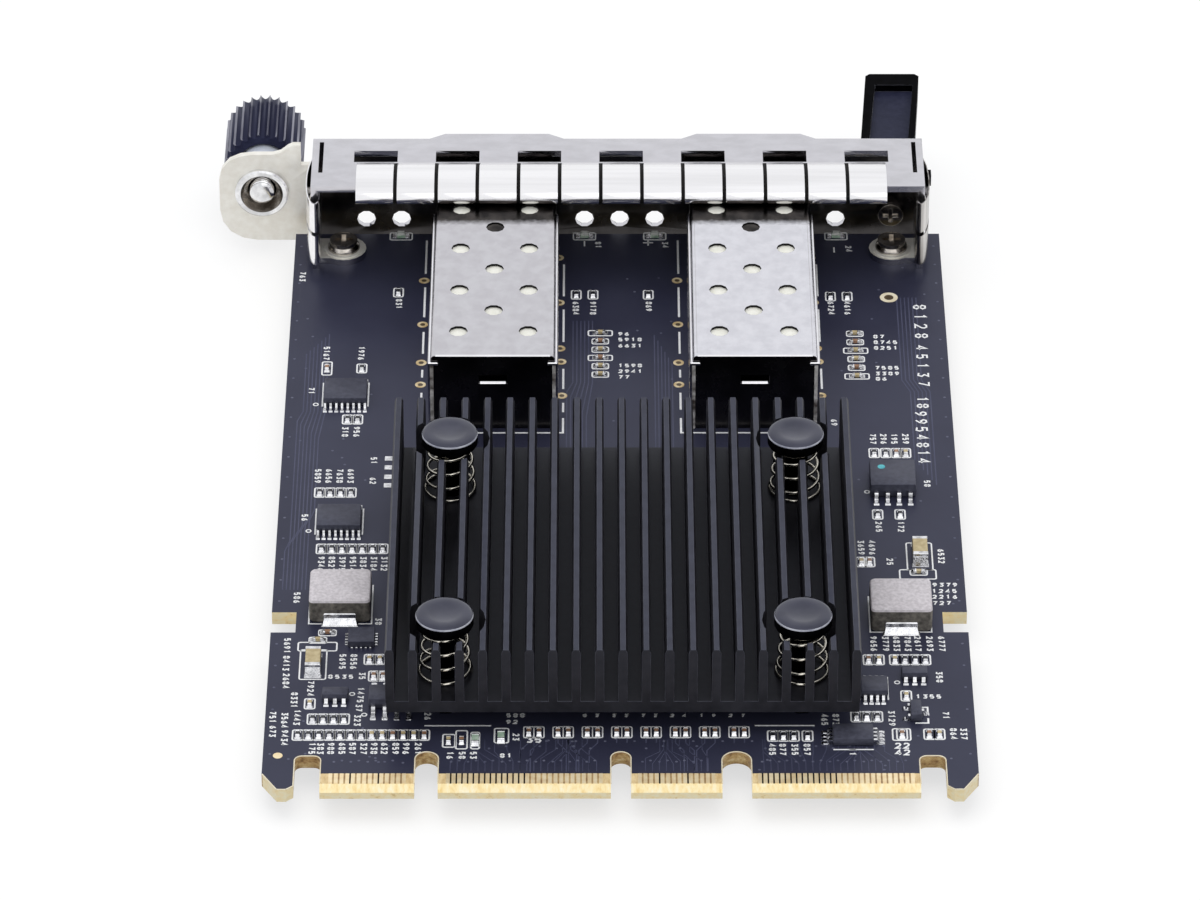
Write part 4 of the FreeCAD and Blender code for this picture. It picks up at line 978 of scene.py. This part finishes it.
def inductor(node):
    """Pressed powder block with broken edges, wide end clips and solder."""
    low, top = card_box(node)
    x0, x1, y0, y1, z1 = low.x, top.x, low.y + 0.45, top.y - 0.45, top.z
    cx = (x0 + x1) / 2
    b = Build(node + "_finish", "ferrite", "ferrite_painted_shade", "tin", "solder")
    rings = []
    for a, z, r in ((0.12, 0.12, 0.5), (0, 0.35, 0.5), (0, z1 - 0.34, 0.5), (0.10, z1 - 0.12, 0.55),
                    (0.34, z1, 0.7)):
        rings.append([(x, y, z) for x, y in rounded(x0 + a, x1 - a, y0 + a, y1 - a, r, 5)])
    # the sides take the darker copy of the powder finish, painted shade
    b.layers(rings[:3], 1)
    b.layers(rings[2:])
    for way, y in ((-1, y0), (1, y1)):  # clip, pad and solder at each end
        b.block(cx - 1.75, cx + 1.75, y - way * 0.3, y + way * 0.13, 0.05, 1.32, 2, inset=0.1)
        b.block(cx - 2.0, cx + 2.0, y + way * 0.05, y + way * 0.75, SUNK, 0.10, 2, inset=0.05)
        far, near = y + way * 0.66, y + way * 0.1
        b.layers([[(cx - 1.9, far, 0.06), (cx + 1.9, far, 0.06), (cx + 1.8, near, 0.06),
                   (cx - 1.8, near, 0.06)],
                  [(cx - 1.7, near + way * 0.06, 0.75), (cx + 1.7, near + way * 0.06, 0.75),
                   (cx + 1.7, near, 0.78), (cx - 1.7, near, 0.78)]], 3)
    b.stand_for(node, angle=30)


# ---- push pins and springs
PIN_HEAD = 1.8  # height of a push pin's head
SPRING_SEAT = 1.4  # above the heatsink's underside


def push_pins():
    """Turned plastic pins with a glossy head, a painted highlight round the rim and a split barbed nose.
    """
    low, top = card_box("push_pins")
    z = top.z
    profile = [(0.02, z - 0.12), (1.5, z - 0.12), (1.75, z - 0.02), (2.6, z), (2.92, z - 0.1),
               (3.03, z - 0.24), (3.1, z - 0.42), (3.1, z - 1.42), (3.0, z - 1.62), (2.75, z - 1.78),
               (1.75, z - PIN_HEAD), (1.5, z - 1.95), (1.4, z - 2.2), (1.4, -1.75), (0.02, -1.8)]
    b = Build("push_pin_set", "gloss", "plastic", "rim_painted_highlight")
    for x, y in PINS:
        # the band at the head's edge takes the painted highlight
        b.lathe((x, y, 0), UP, profile, 64, bands=((5, 6, 2), (6, 14, 1)))
        for side in (-1, 1):  # the two barbed halves of the split nose
            rings = []
            for r, h in ((1.3, -1.62), (1.95, -1.66), (1.9, -2.0), (0.95, -3.75), (0.7, low.z)):
                arc = [(side * 0.25 + side * (r - 0.25) * s, (r - 0.1) * c)
                       for c, s in ring_points(13, 0, math.pi)]
                rings.append([(x + u, y + v, h) for u, v in arc])
            b.layers(rings, 1)
    b.stand_for("push_pins", angle=50)


def pin_springs():
    """Springs round the push pins, wound closer at both ends and narrower towards the top."""
    base = card_box("heatsink")[0].z + SPRING_SEAT
    top = card_box("push_pins")[1].z - PIN_HEAD
    wire, turns, count = 0.19, 4.6, 165
    b = Build("spring_set", "wire")
    for k, (x, y) in enumerate(PINS):
        path = []
        for s in (i / count for i in range(count + 1)):
            a = 2 * math.pi * turns * s + 0.9 * k
            lift = min(1.0, max(0.0, (s * turns - 0.75) / (turns - 1.5)))
            z = base + wire + (top - base - 2 * wire) * lift
            r = 2.85 - 0.65 * s
            path.append(Vector((x + r * math.cos(a), y + r * math.sin(a), z)))
        b.tube(path, wire)
    b.stand_for("pin_springs", angle=60)


# ---- screws and thumbscrew
FERRULE_BOX = card_box("ferrule")
SCREW_AXIS = ((FERRULE_BOX[0].x + FERRULE_BOX[1].x) / 2, 0,
              (FERRULE_BOX[0].z + FERRULE_BOX[1].z) / 2)
BORE_END = 6.2  # depth of the ferrule's and the knob's bores


def cross_outline(h, a):
    """Outline of a cross recess with arms of length h and half width a."""
    return [(h, a), (a, a), (a, h), (-a, h), (-a, a), (-h, a), (-h, -a), (-a, -a), (-a, -h), (a, -h),
            (a, -a), (h, -a)]


def screw_head(b, centre, axis, profile, half, arm, deep):
    """Turned head along UP or ALONG whose flat end has a cross recess."""
    cx, cy, cz = centre
    b.lathe(centre, axis, profile)

    def at(u, v, w):
        return (cx + u, cy + v, cz + w) if axis == UP else (cx + u, cy + w, cz + v)
    flat, top = profile[-1]
    disc = [(flat * c, flat * s) for c, s in ring_points(40)]
    b.plate([disc, cross_outline(half, arm)], top, top + deep, at)


def bracket_screws():
    """Cross-recessed screws with a raised rim, each on a pale washer."""
    b = Build("lug_screws", "screw", "ear")
    for x0, x1, y0, y1, z0, z1 in islands("bracket_screws"):
        foot = ((x0 + x1) / 2, (y0 + y1) / 2, 0)
        base = z1 - 1.3
        profile = [(1.15, z0), (1.2, z0 + 0.15), (1.2, base), (1.86, base), (1.9, base + 0.25),
                   (1.84, base + 0.5), (1.62, base + 0.78)]
        screw_head(b, foot, UP, profile, 1.05, 0.26, 0.45)
        b.lathe(foot, UP, [(1.62, base + 0.78), (1.62, base + 1.22), (1.5, base + 1.24),
                           (1.5, base + 0.78)], closed=True)
        b.lathe(foot, UP, [(1.3, base - 0.02), (2.3, base - 0.02), (2.32, base + 0.1),
                           (2.2, base + 0.14), (1.3, base + 0.14)], mat=1, closed=True)
    b.stand_for("bracket_screws", angle=40)


def ferrule():
    """Sleeve pressed into the bracket: bright collar, satin barrel and a bore painted in shade."""
    y0, y1 = (p.y for p in card_box("ferrule"))
    b = Build("ferrule_finish", "tip", "sleeve", "shade", "screw")
    # the bore's inner walls take painted shade
    b.lathe(SCREW_AXIS, ALONG,
            [(2.5, y0 + 0.02), (2.95, y0), (3.15, y0 + 0.18), (3.15, y0 + 0.6), (2.85, y0 + 0.62),
             (2.85, y1 - 0.2), (2.7, y1), (1.8, y1), (1.66, y1 - 0.12), (1.66, y0 + BORE_END),
             (2.2, y0 + BORE_END - 0.02), (2.2, y0 + 1.62), (1.68, y0 + 1.6), (1.68, y0 + 1.3),
             (2.4, y0 + 0.35)],
            64, closed=True, bands=((3, 8, 1), (8, 13, 2), (13, 15, 3)))
    b.stand_for("ferrule")


def retaining_ring():
    """Ring in the screw's groove that keeps it in the ferrule."""
    y0, y1 = (p.y for p in card_box("retaining_ring"))
    b = Build("retaining_ring_finish", "screw")
    b.lathe(SCREW_AXIS, ALONG, [(1.48, y0), (2.06, y0), (2.1, y0 + 0.05), (2.1, y1 - 0.05),
                                (2.06, y1), (1.48, y1)], 48, closed=True)
    b.stand_for("retaining_ring", "screw_carrier")


def thumbscrew():
    """Screw with a thread at its free end, a groove for the ring and a cross-recessed head."""
    low, top = card_box("thumbscrew")
    head = top.y - 1.2
    profile = [(0.95, low.y), (1.2, low.y + 0.12)]
    y = low.y + 0.25
    while y < low.y + 4.0:
        profile += [(1.42, y), (1.42, y + 0.08), (1.22, y + 0.26)]
        y += 0.42
    collar = low.y + 4.94
    profile += [(1.42, y), (1.42, collar), (2.0, collar + 0.02), (2.0, collar + 0.28),
                (1.43, collar + 0.3), (1.43, collar + 0.98), (1.58, collar + 1.0),
                (1.58, collar + 1.28), (1.43, collar + 1.3), (1.43, head), (2.3, head + 0.02),
                (2.38, head + 0.1), (2.38, head + 0.4)]
    b = Build("thumbscrew_finish", "tip")
    screw_head(b, SCREW_AXIS, ALONG, profile, 1.5, 0.3, 0.78)
    b.stand_for("thumbscrew", "screw_and_knob")


def knob():
    """Fluted knob with crests painted lighter as highlight and a bore that takes the ferrule's barrel.
    """
    low, top = card_box("knob")
    y0, y1, radius = low.y, top.y, (top.z - low.z) / 2
    flutes, per = 26, 10
    around = flutes * per

    def ring(y, r, depth=0.0):
        """Round section; depth scales the flutes cut into it."""
        out = []
        for i, (c, s) in enumerate(ring_points(around)):
            bottom = r - 0.6 * depth * math.sin(math.pi * (i % per) / per) ** 0.8
            out.append((SCREW_AXIS[0] + bottom * c, y, SCREW_AXIS[2] + bottom * s))
        return out
    rings = [ring(y0 + BORE_END, 1.44), ring(y0 + BORE_END, 3.1), ring(y0 + 0.1, 3.1),
             ring(y0, 3.25), ring(y0, radius - 0.16, 0.9), ring(y0 + 0.14, radius, 1.0),
             ring(y1 - 0.2, radius, 1.0), ring(y1, radius - 0.22, 0.9), ring(y1, 2.5),
             ring(y1 - 0.1, 2.4), ring(y1 - 1.5, 2.4), ring(y1 - 1.5, 1.44)]
    b = Build("knob_finish", "knob", "ridge")
    b.layers(rings + rings[:1], cap=False)
    for j in range(4 * around, 7 * around):  # painted highlight on the crests of the fluted rings
        if j % per in (0, per - 1):
            b.index[j] = 1
    b.stand_for("knob", "screw_and_knob", angle=50)


# ---- bracket, gaskets and tab
def gasket_fingers():
    """Thirteen sprung leaves over the free edge of the top flange, joined by a spine below."""
    low, top = card_box("gasket_top")
    count, wide = 13, 4.35
    pitch = (top.x - low.x - wide) / (count - 1)
    front, crest, z0 = low.y, top.z, low.z
    path = smooth_path([(102.2, z0 + 0.12), (101.2, z0), (100.5, z0 + 0.14), (front, z0 + 0.78),
                        (front + 0.42, z0 + 1.62), (front + 1.5, z0 + 2.12), (front + 3.6, crest),
                        (front + 5.6, crest - 0.32), (107.5, 11.42)], 5)
    outline = thickened(path, 0.14)
    middle = Vector((103.4, z0 + 1.2))

    def section(x, share):
        """The leaf's outline at a place across, drawn in towards its middle."""
        return [(x, *(middle + (p - middle) * share)) for p in outline]
    b = Build("gasket_top_finish", "gasket", "shade")
    for i in range(count):
        x = low.x + i * pitch
        b.layers([section(x, 0.9895), section(x + 0.12, 1.0), section(x + wide - 0.12, 1.0),
                  section(x + wide, 0.9895)])
    b.layers([section(x, 0.972) for x in (low.x + 0.3, top.x - 0.3)], 1)  # dark sheet behind the leaves, painted shade seen through the gaps between them
    b.extrude([(101.6, z0 + 0.02), (106.3, 10.36), (106.3, 10.5), (101.6, z0 + 0.2)], low.x, top.x)
    b.stand_for("gasket_top", angle=45)


def side_gasket(node, side, mat):
    """Sprung strip round a side flange, in two lengths."""
    low, top = card_box(node)
    path = smooth_path([(35.86, 111.55), (36.28, 109.4), (36.48, 107.0), (36.42, 104.2),
                        (36.05, 101.9), (35.4, 100.9), (34.9, 101.4), (34.8, 102.3),
                        (34.8, 105.9)], 5)
    outline = thickened(path, 0.12)
    b = Build(node + "_finish", mat)
    for ends in ((low.z, low.z + 3.95), (low.z + 4.45, top.z)):
        b.layers([[(side * u, v, z) for u, v in outline] for z in ends])
    b.stand_for(node, angle=45)


def cage_trim():
    """Side flanges, rear corners, folded edges and inner layer of both port cages."""
    b = Build("cage_trim", "cage_painted_highlight", "cage", "liner", "glint", "shade")
    for node, c in zip(("cage_left", "cage_right"), PORTS):
        low, top = card_box(node)
        half, rear, roof, neck = 7.0, low.y, top.z, top.z - 0.75
        # the folds' paler finish is painted highlight and the rear corners' finish a painted glint
        folds = (  # distances out from the side, ends, heights, finish, finish on top, inset
            (-0.02, 0.34, rear - 0.12, 100.0, 0.05, neck, 1, 0, 0.1),
            (-0.82, 0.3, rear - 0.3, rear + 0.02, roof - 1.1, neck, 0, None, 0.1),
            (-0.28, 0.1, rear - 0.22, rear + 0.02, 0.1, roof - 1.1, 3, None, 0.08),
            (0.0, 0.26, 111.9, 112.18, 0.05, roof + 0.2, 4),  # dark strip of painted shade that shuts the port's side gap
            (-0.5, -0.42, rear + 0.6, 100.0, roof - 0.02, roof + 0.018, 1))
        for s in (-1, 1):
            for inner, outer, *rest in folds:
                b.block(c + s * (half + inner), c + s * (half + outer), *rest)
        # the roof's rear edge in the paler nickel, painted highlight
        b.block(c - half + 0.5, c + half - 0.5, rear - 0.06, rear + 0.3, roof - 0.12, roof + 0.02,
                inset=0.05)
        for y0, y1 in ((70.0, 95.4), (98.0, 101.6)):  # inner layer seen through the vents
            b.block(c - half + 0.8, c + half - 0.8, y0, y1, roof - 0.55, roof - 0.37, 2)
        # the lip in the paler nickel, painted highlight
        lip = smooth_path([(rear - 0.02, 6.35), (rear - 0.25, 6.2), (rear - 0.42, 6.32)], 4)
        b.extrude(thickened(lip, 0.12), c - 1.45, c + 1.45)
    b.make(slot="cage_steel", bevel=0.04, segments=1)


EAR_START = -35.9  # the bracket's ear lies to the left of this
FACEPLATE = 111.0


def bracket_pick(face, mid):
    """The ear and the lugs take a paler, warmer copy of the bracket's nickel, painted light; the
    faceplate's inner side takes painted shade.
    """
    if mid.x < EAR_START or face.normal.z > 0.9 and mid.z < 3 and mid.y < FACEPLATE:
        return 1
    return 2 if face.normal.y < -0.9 and mid.y > FACEPLATE else 0


def fin_pick(face, mid):
    """The tops of the fins take a paler copy of the anodising than the gaps between them, painted light.
    """
    return 1 if face.normal.z > 0.9 and mid.z > card_box("heatsink")[1].z - 0.5 else 0


def vent_pick(face, mid):
    """Cut walls of the roof vents take painted shade and the outside of the rear wall a painted dark
    reflection, both darker than the sheet.
    """
    low, top = card_box("cage_left")
    if face.normal.y < -0.9 and mid.y < low.y + 0.3:
        return 2
    return 1 if abs(face.normal.z) < 0.3 and mid.z > top.z - 0.3 and face.calc_area() < 3e-7 else 0


def tab_pick(face, mid):
    """The hollow's floor takes the duller finish."""
    top = card_box("pull_tab")[1].z
    return 1 if face.normal.z > 0.9 and top - 1.2 < mid.z < top - 0.3 else 0


# ---- everything together
paint("pcb", "board")
paint("edge_contacts_top", "gold")
paint("edge_contacts_bottom", "gold")
copper()
finger_gaps()
cut_rims()
pads()
marks = Marks("printed_marks")
print_numbers(marks)
print_lines(marks)
parts_of("chip_resistors", "resistors", "glaze", marks)
capacitors(marks)
parts_of("coupling_capacitors", "pair_capacitors", "brown")
pair_cells(marks)
parts_of("bulk_capacitors", "bulk_parts", "tan", lug=0.55, room=0.55, bevel=0.08)
lights(marks)
marks.make(slot="board")
for chip in CHIPS:
    gull_chip(chip)
power_chip()
inductor("inductor_left")
inductor("inductor_right")
paint_dot()
push_pins()
pin_springs()
bracket_screws()
ferrule()
retaining_ring()
thumbscrew()
knob()
gasket_fingers()
side_gasket("gasket_left", -1, "gasket")
# the right strip takes the dark copy of the gasket finish, painted shade
side_gasket("gasket_right", 1, "gasket_painted_shade")
cage_trim()
# fin tops painted lighter and the rounded edges painted as highlight
soften("heatsink", ["sink", "sink_top", "sink_rim_painted_highlight"], 0.09, pick=fin_pick, rim=2)
# the ear and lugs take the paler copy, painted light; the faceplate's inner side takes painted shade
soften("bracket", ["bracket", "ear", "inner"], 0.12, pick=bracket_pick, cut=EAR_START)
# the vents' cut walls take painted shade and the rear walls a painted dark reflection
soften("cage_left", ["cage", "shade", "inner"], 0.05, pick=vent_pick)
# the right cage takes the lighter copy of its nickel, painted light
soften("cage_right", ["cage_painted_lighter", "shade", "inner"], 0.05, pick=vent_pick)
soften("connector_left", ["plastic"], 0.15)
soften("connector_right", ["plastic"], 0.15)
soften("controller_chip", ["mould"], 0.1, segments=1)
soften("thermal_pad", ["pad"], 0.1, segments=1)
soften("pull_tab_screw", ["screw"], 0.06)
# the tab's rounded edges take the painted highlight
soften("pull_tab", ["plastic", "tab", "rim_painted_highlight"], 0.18, pick=tab_pick, rim=2)

# ---- stage, light and camera
floor = linked("floor", bpy.data.meshes.new("floor"))
floor.data.from_pydata([(-6, -6, 0), (6, -6, 0), (6, 6, 0), (-6, 6, 0)], [], [(0, 1, 2, 3)])

FLOOR_LIFT = 0.66  # keeps the pale floor white where nothing shades it
WORLD_FILL = 0.82  # soft light from all round
floor_mat, g, bsdf = new_mat("floor_white")
floor.data.materials.append(floor_mat)
preset(bsdf, {"Base Color": (0.36, 0.36, 0.36, 1), "Roughness": 1.0, "Specular IOR Level": 0.0,
              "Emission Color": (1, 1, 1, 1)})
g.link(g.scaled(g.seen_directly(), 0.0, FLOOR_LIFT), bsdf.inputs["Emission Strength"])

world = bpy.data.worlds.new("studio")
bpy.context.scene.world = world
world.use_nodes = True
g = Graph(world.node_tree)
sky = g.nodes["Background"]
preset(sky, {"Color": (0.975, 0.985, 1.0, 1)})
g.link(g.scaled(g.seen_directly(), WORLD_FILL, 1.0), sky.inputs["Strength"])


def area(name, loc, size, watts, mirrored=True):
    """A soft lamp aimed at the card; one that isn't mirrored leaves no glare on the metal."""
    data = bpy.data.lights.new(name, "AREA")
    data.energy = watts
    data.size = size
    ob = linked(name, data)
    ob.location = loc
    ob.rotation_euler = (Vector((0, 0, 0.01)) - Vector(loc)).to_track_quat("-Z", "Y").to_euler()
    ob.visible_glossy = mirrored


area("overhead", (-0.15, 0.1, 1.3), 1.1, 4.2, mirrored=False)
area("front", (0.3, -1.0, 0.9), 1.0, 1.6)

EYE = (-2.6, -617.7, 456.6)  # the photograph's viewpoint, fitted to the board's corners
LOOK_DOWN = 33.811  # degrees under the level
LOOK_ASIDE = -0.042
cam_data = bpy.data.cameras.new("camera")
cam_data.sensor_width = 36.0
cam_data.lens = 217.9
cam_data.clip_start = 0.01
cam = linked("camera", cam_data)
cam.location = P(*EYE)
cam.rotation_euler = Euler((math.radians(90 - LOOK_DOWN), 0, math.radians(LOOK_ASIDE)), "XYZ")
bpy.context.scene.camera = cam
bpy.context.scene.view_settings.view_transform = "Standard"

bpy.context.view_layer.update()
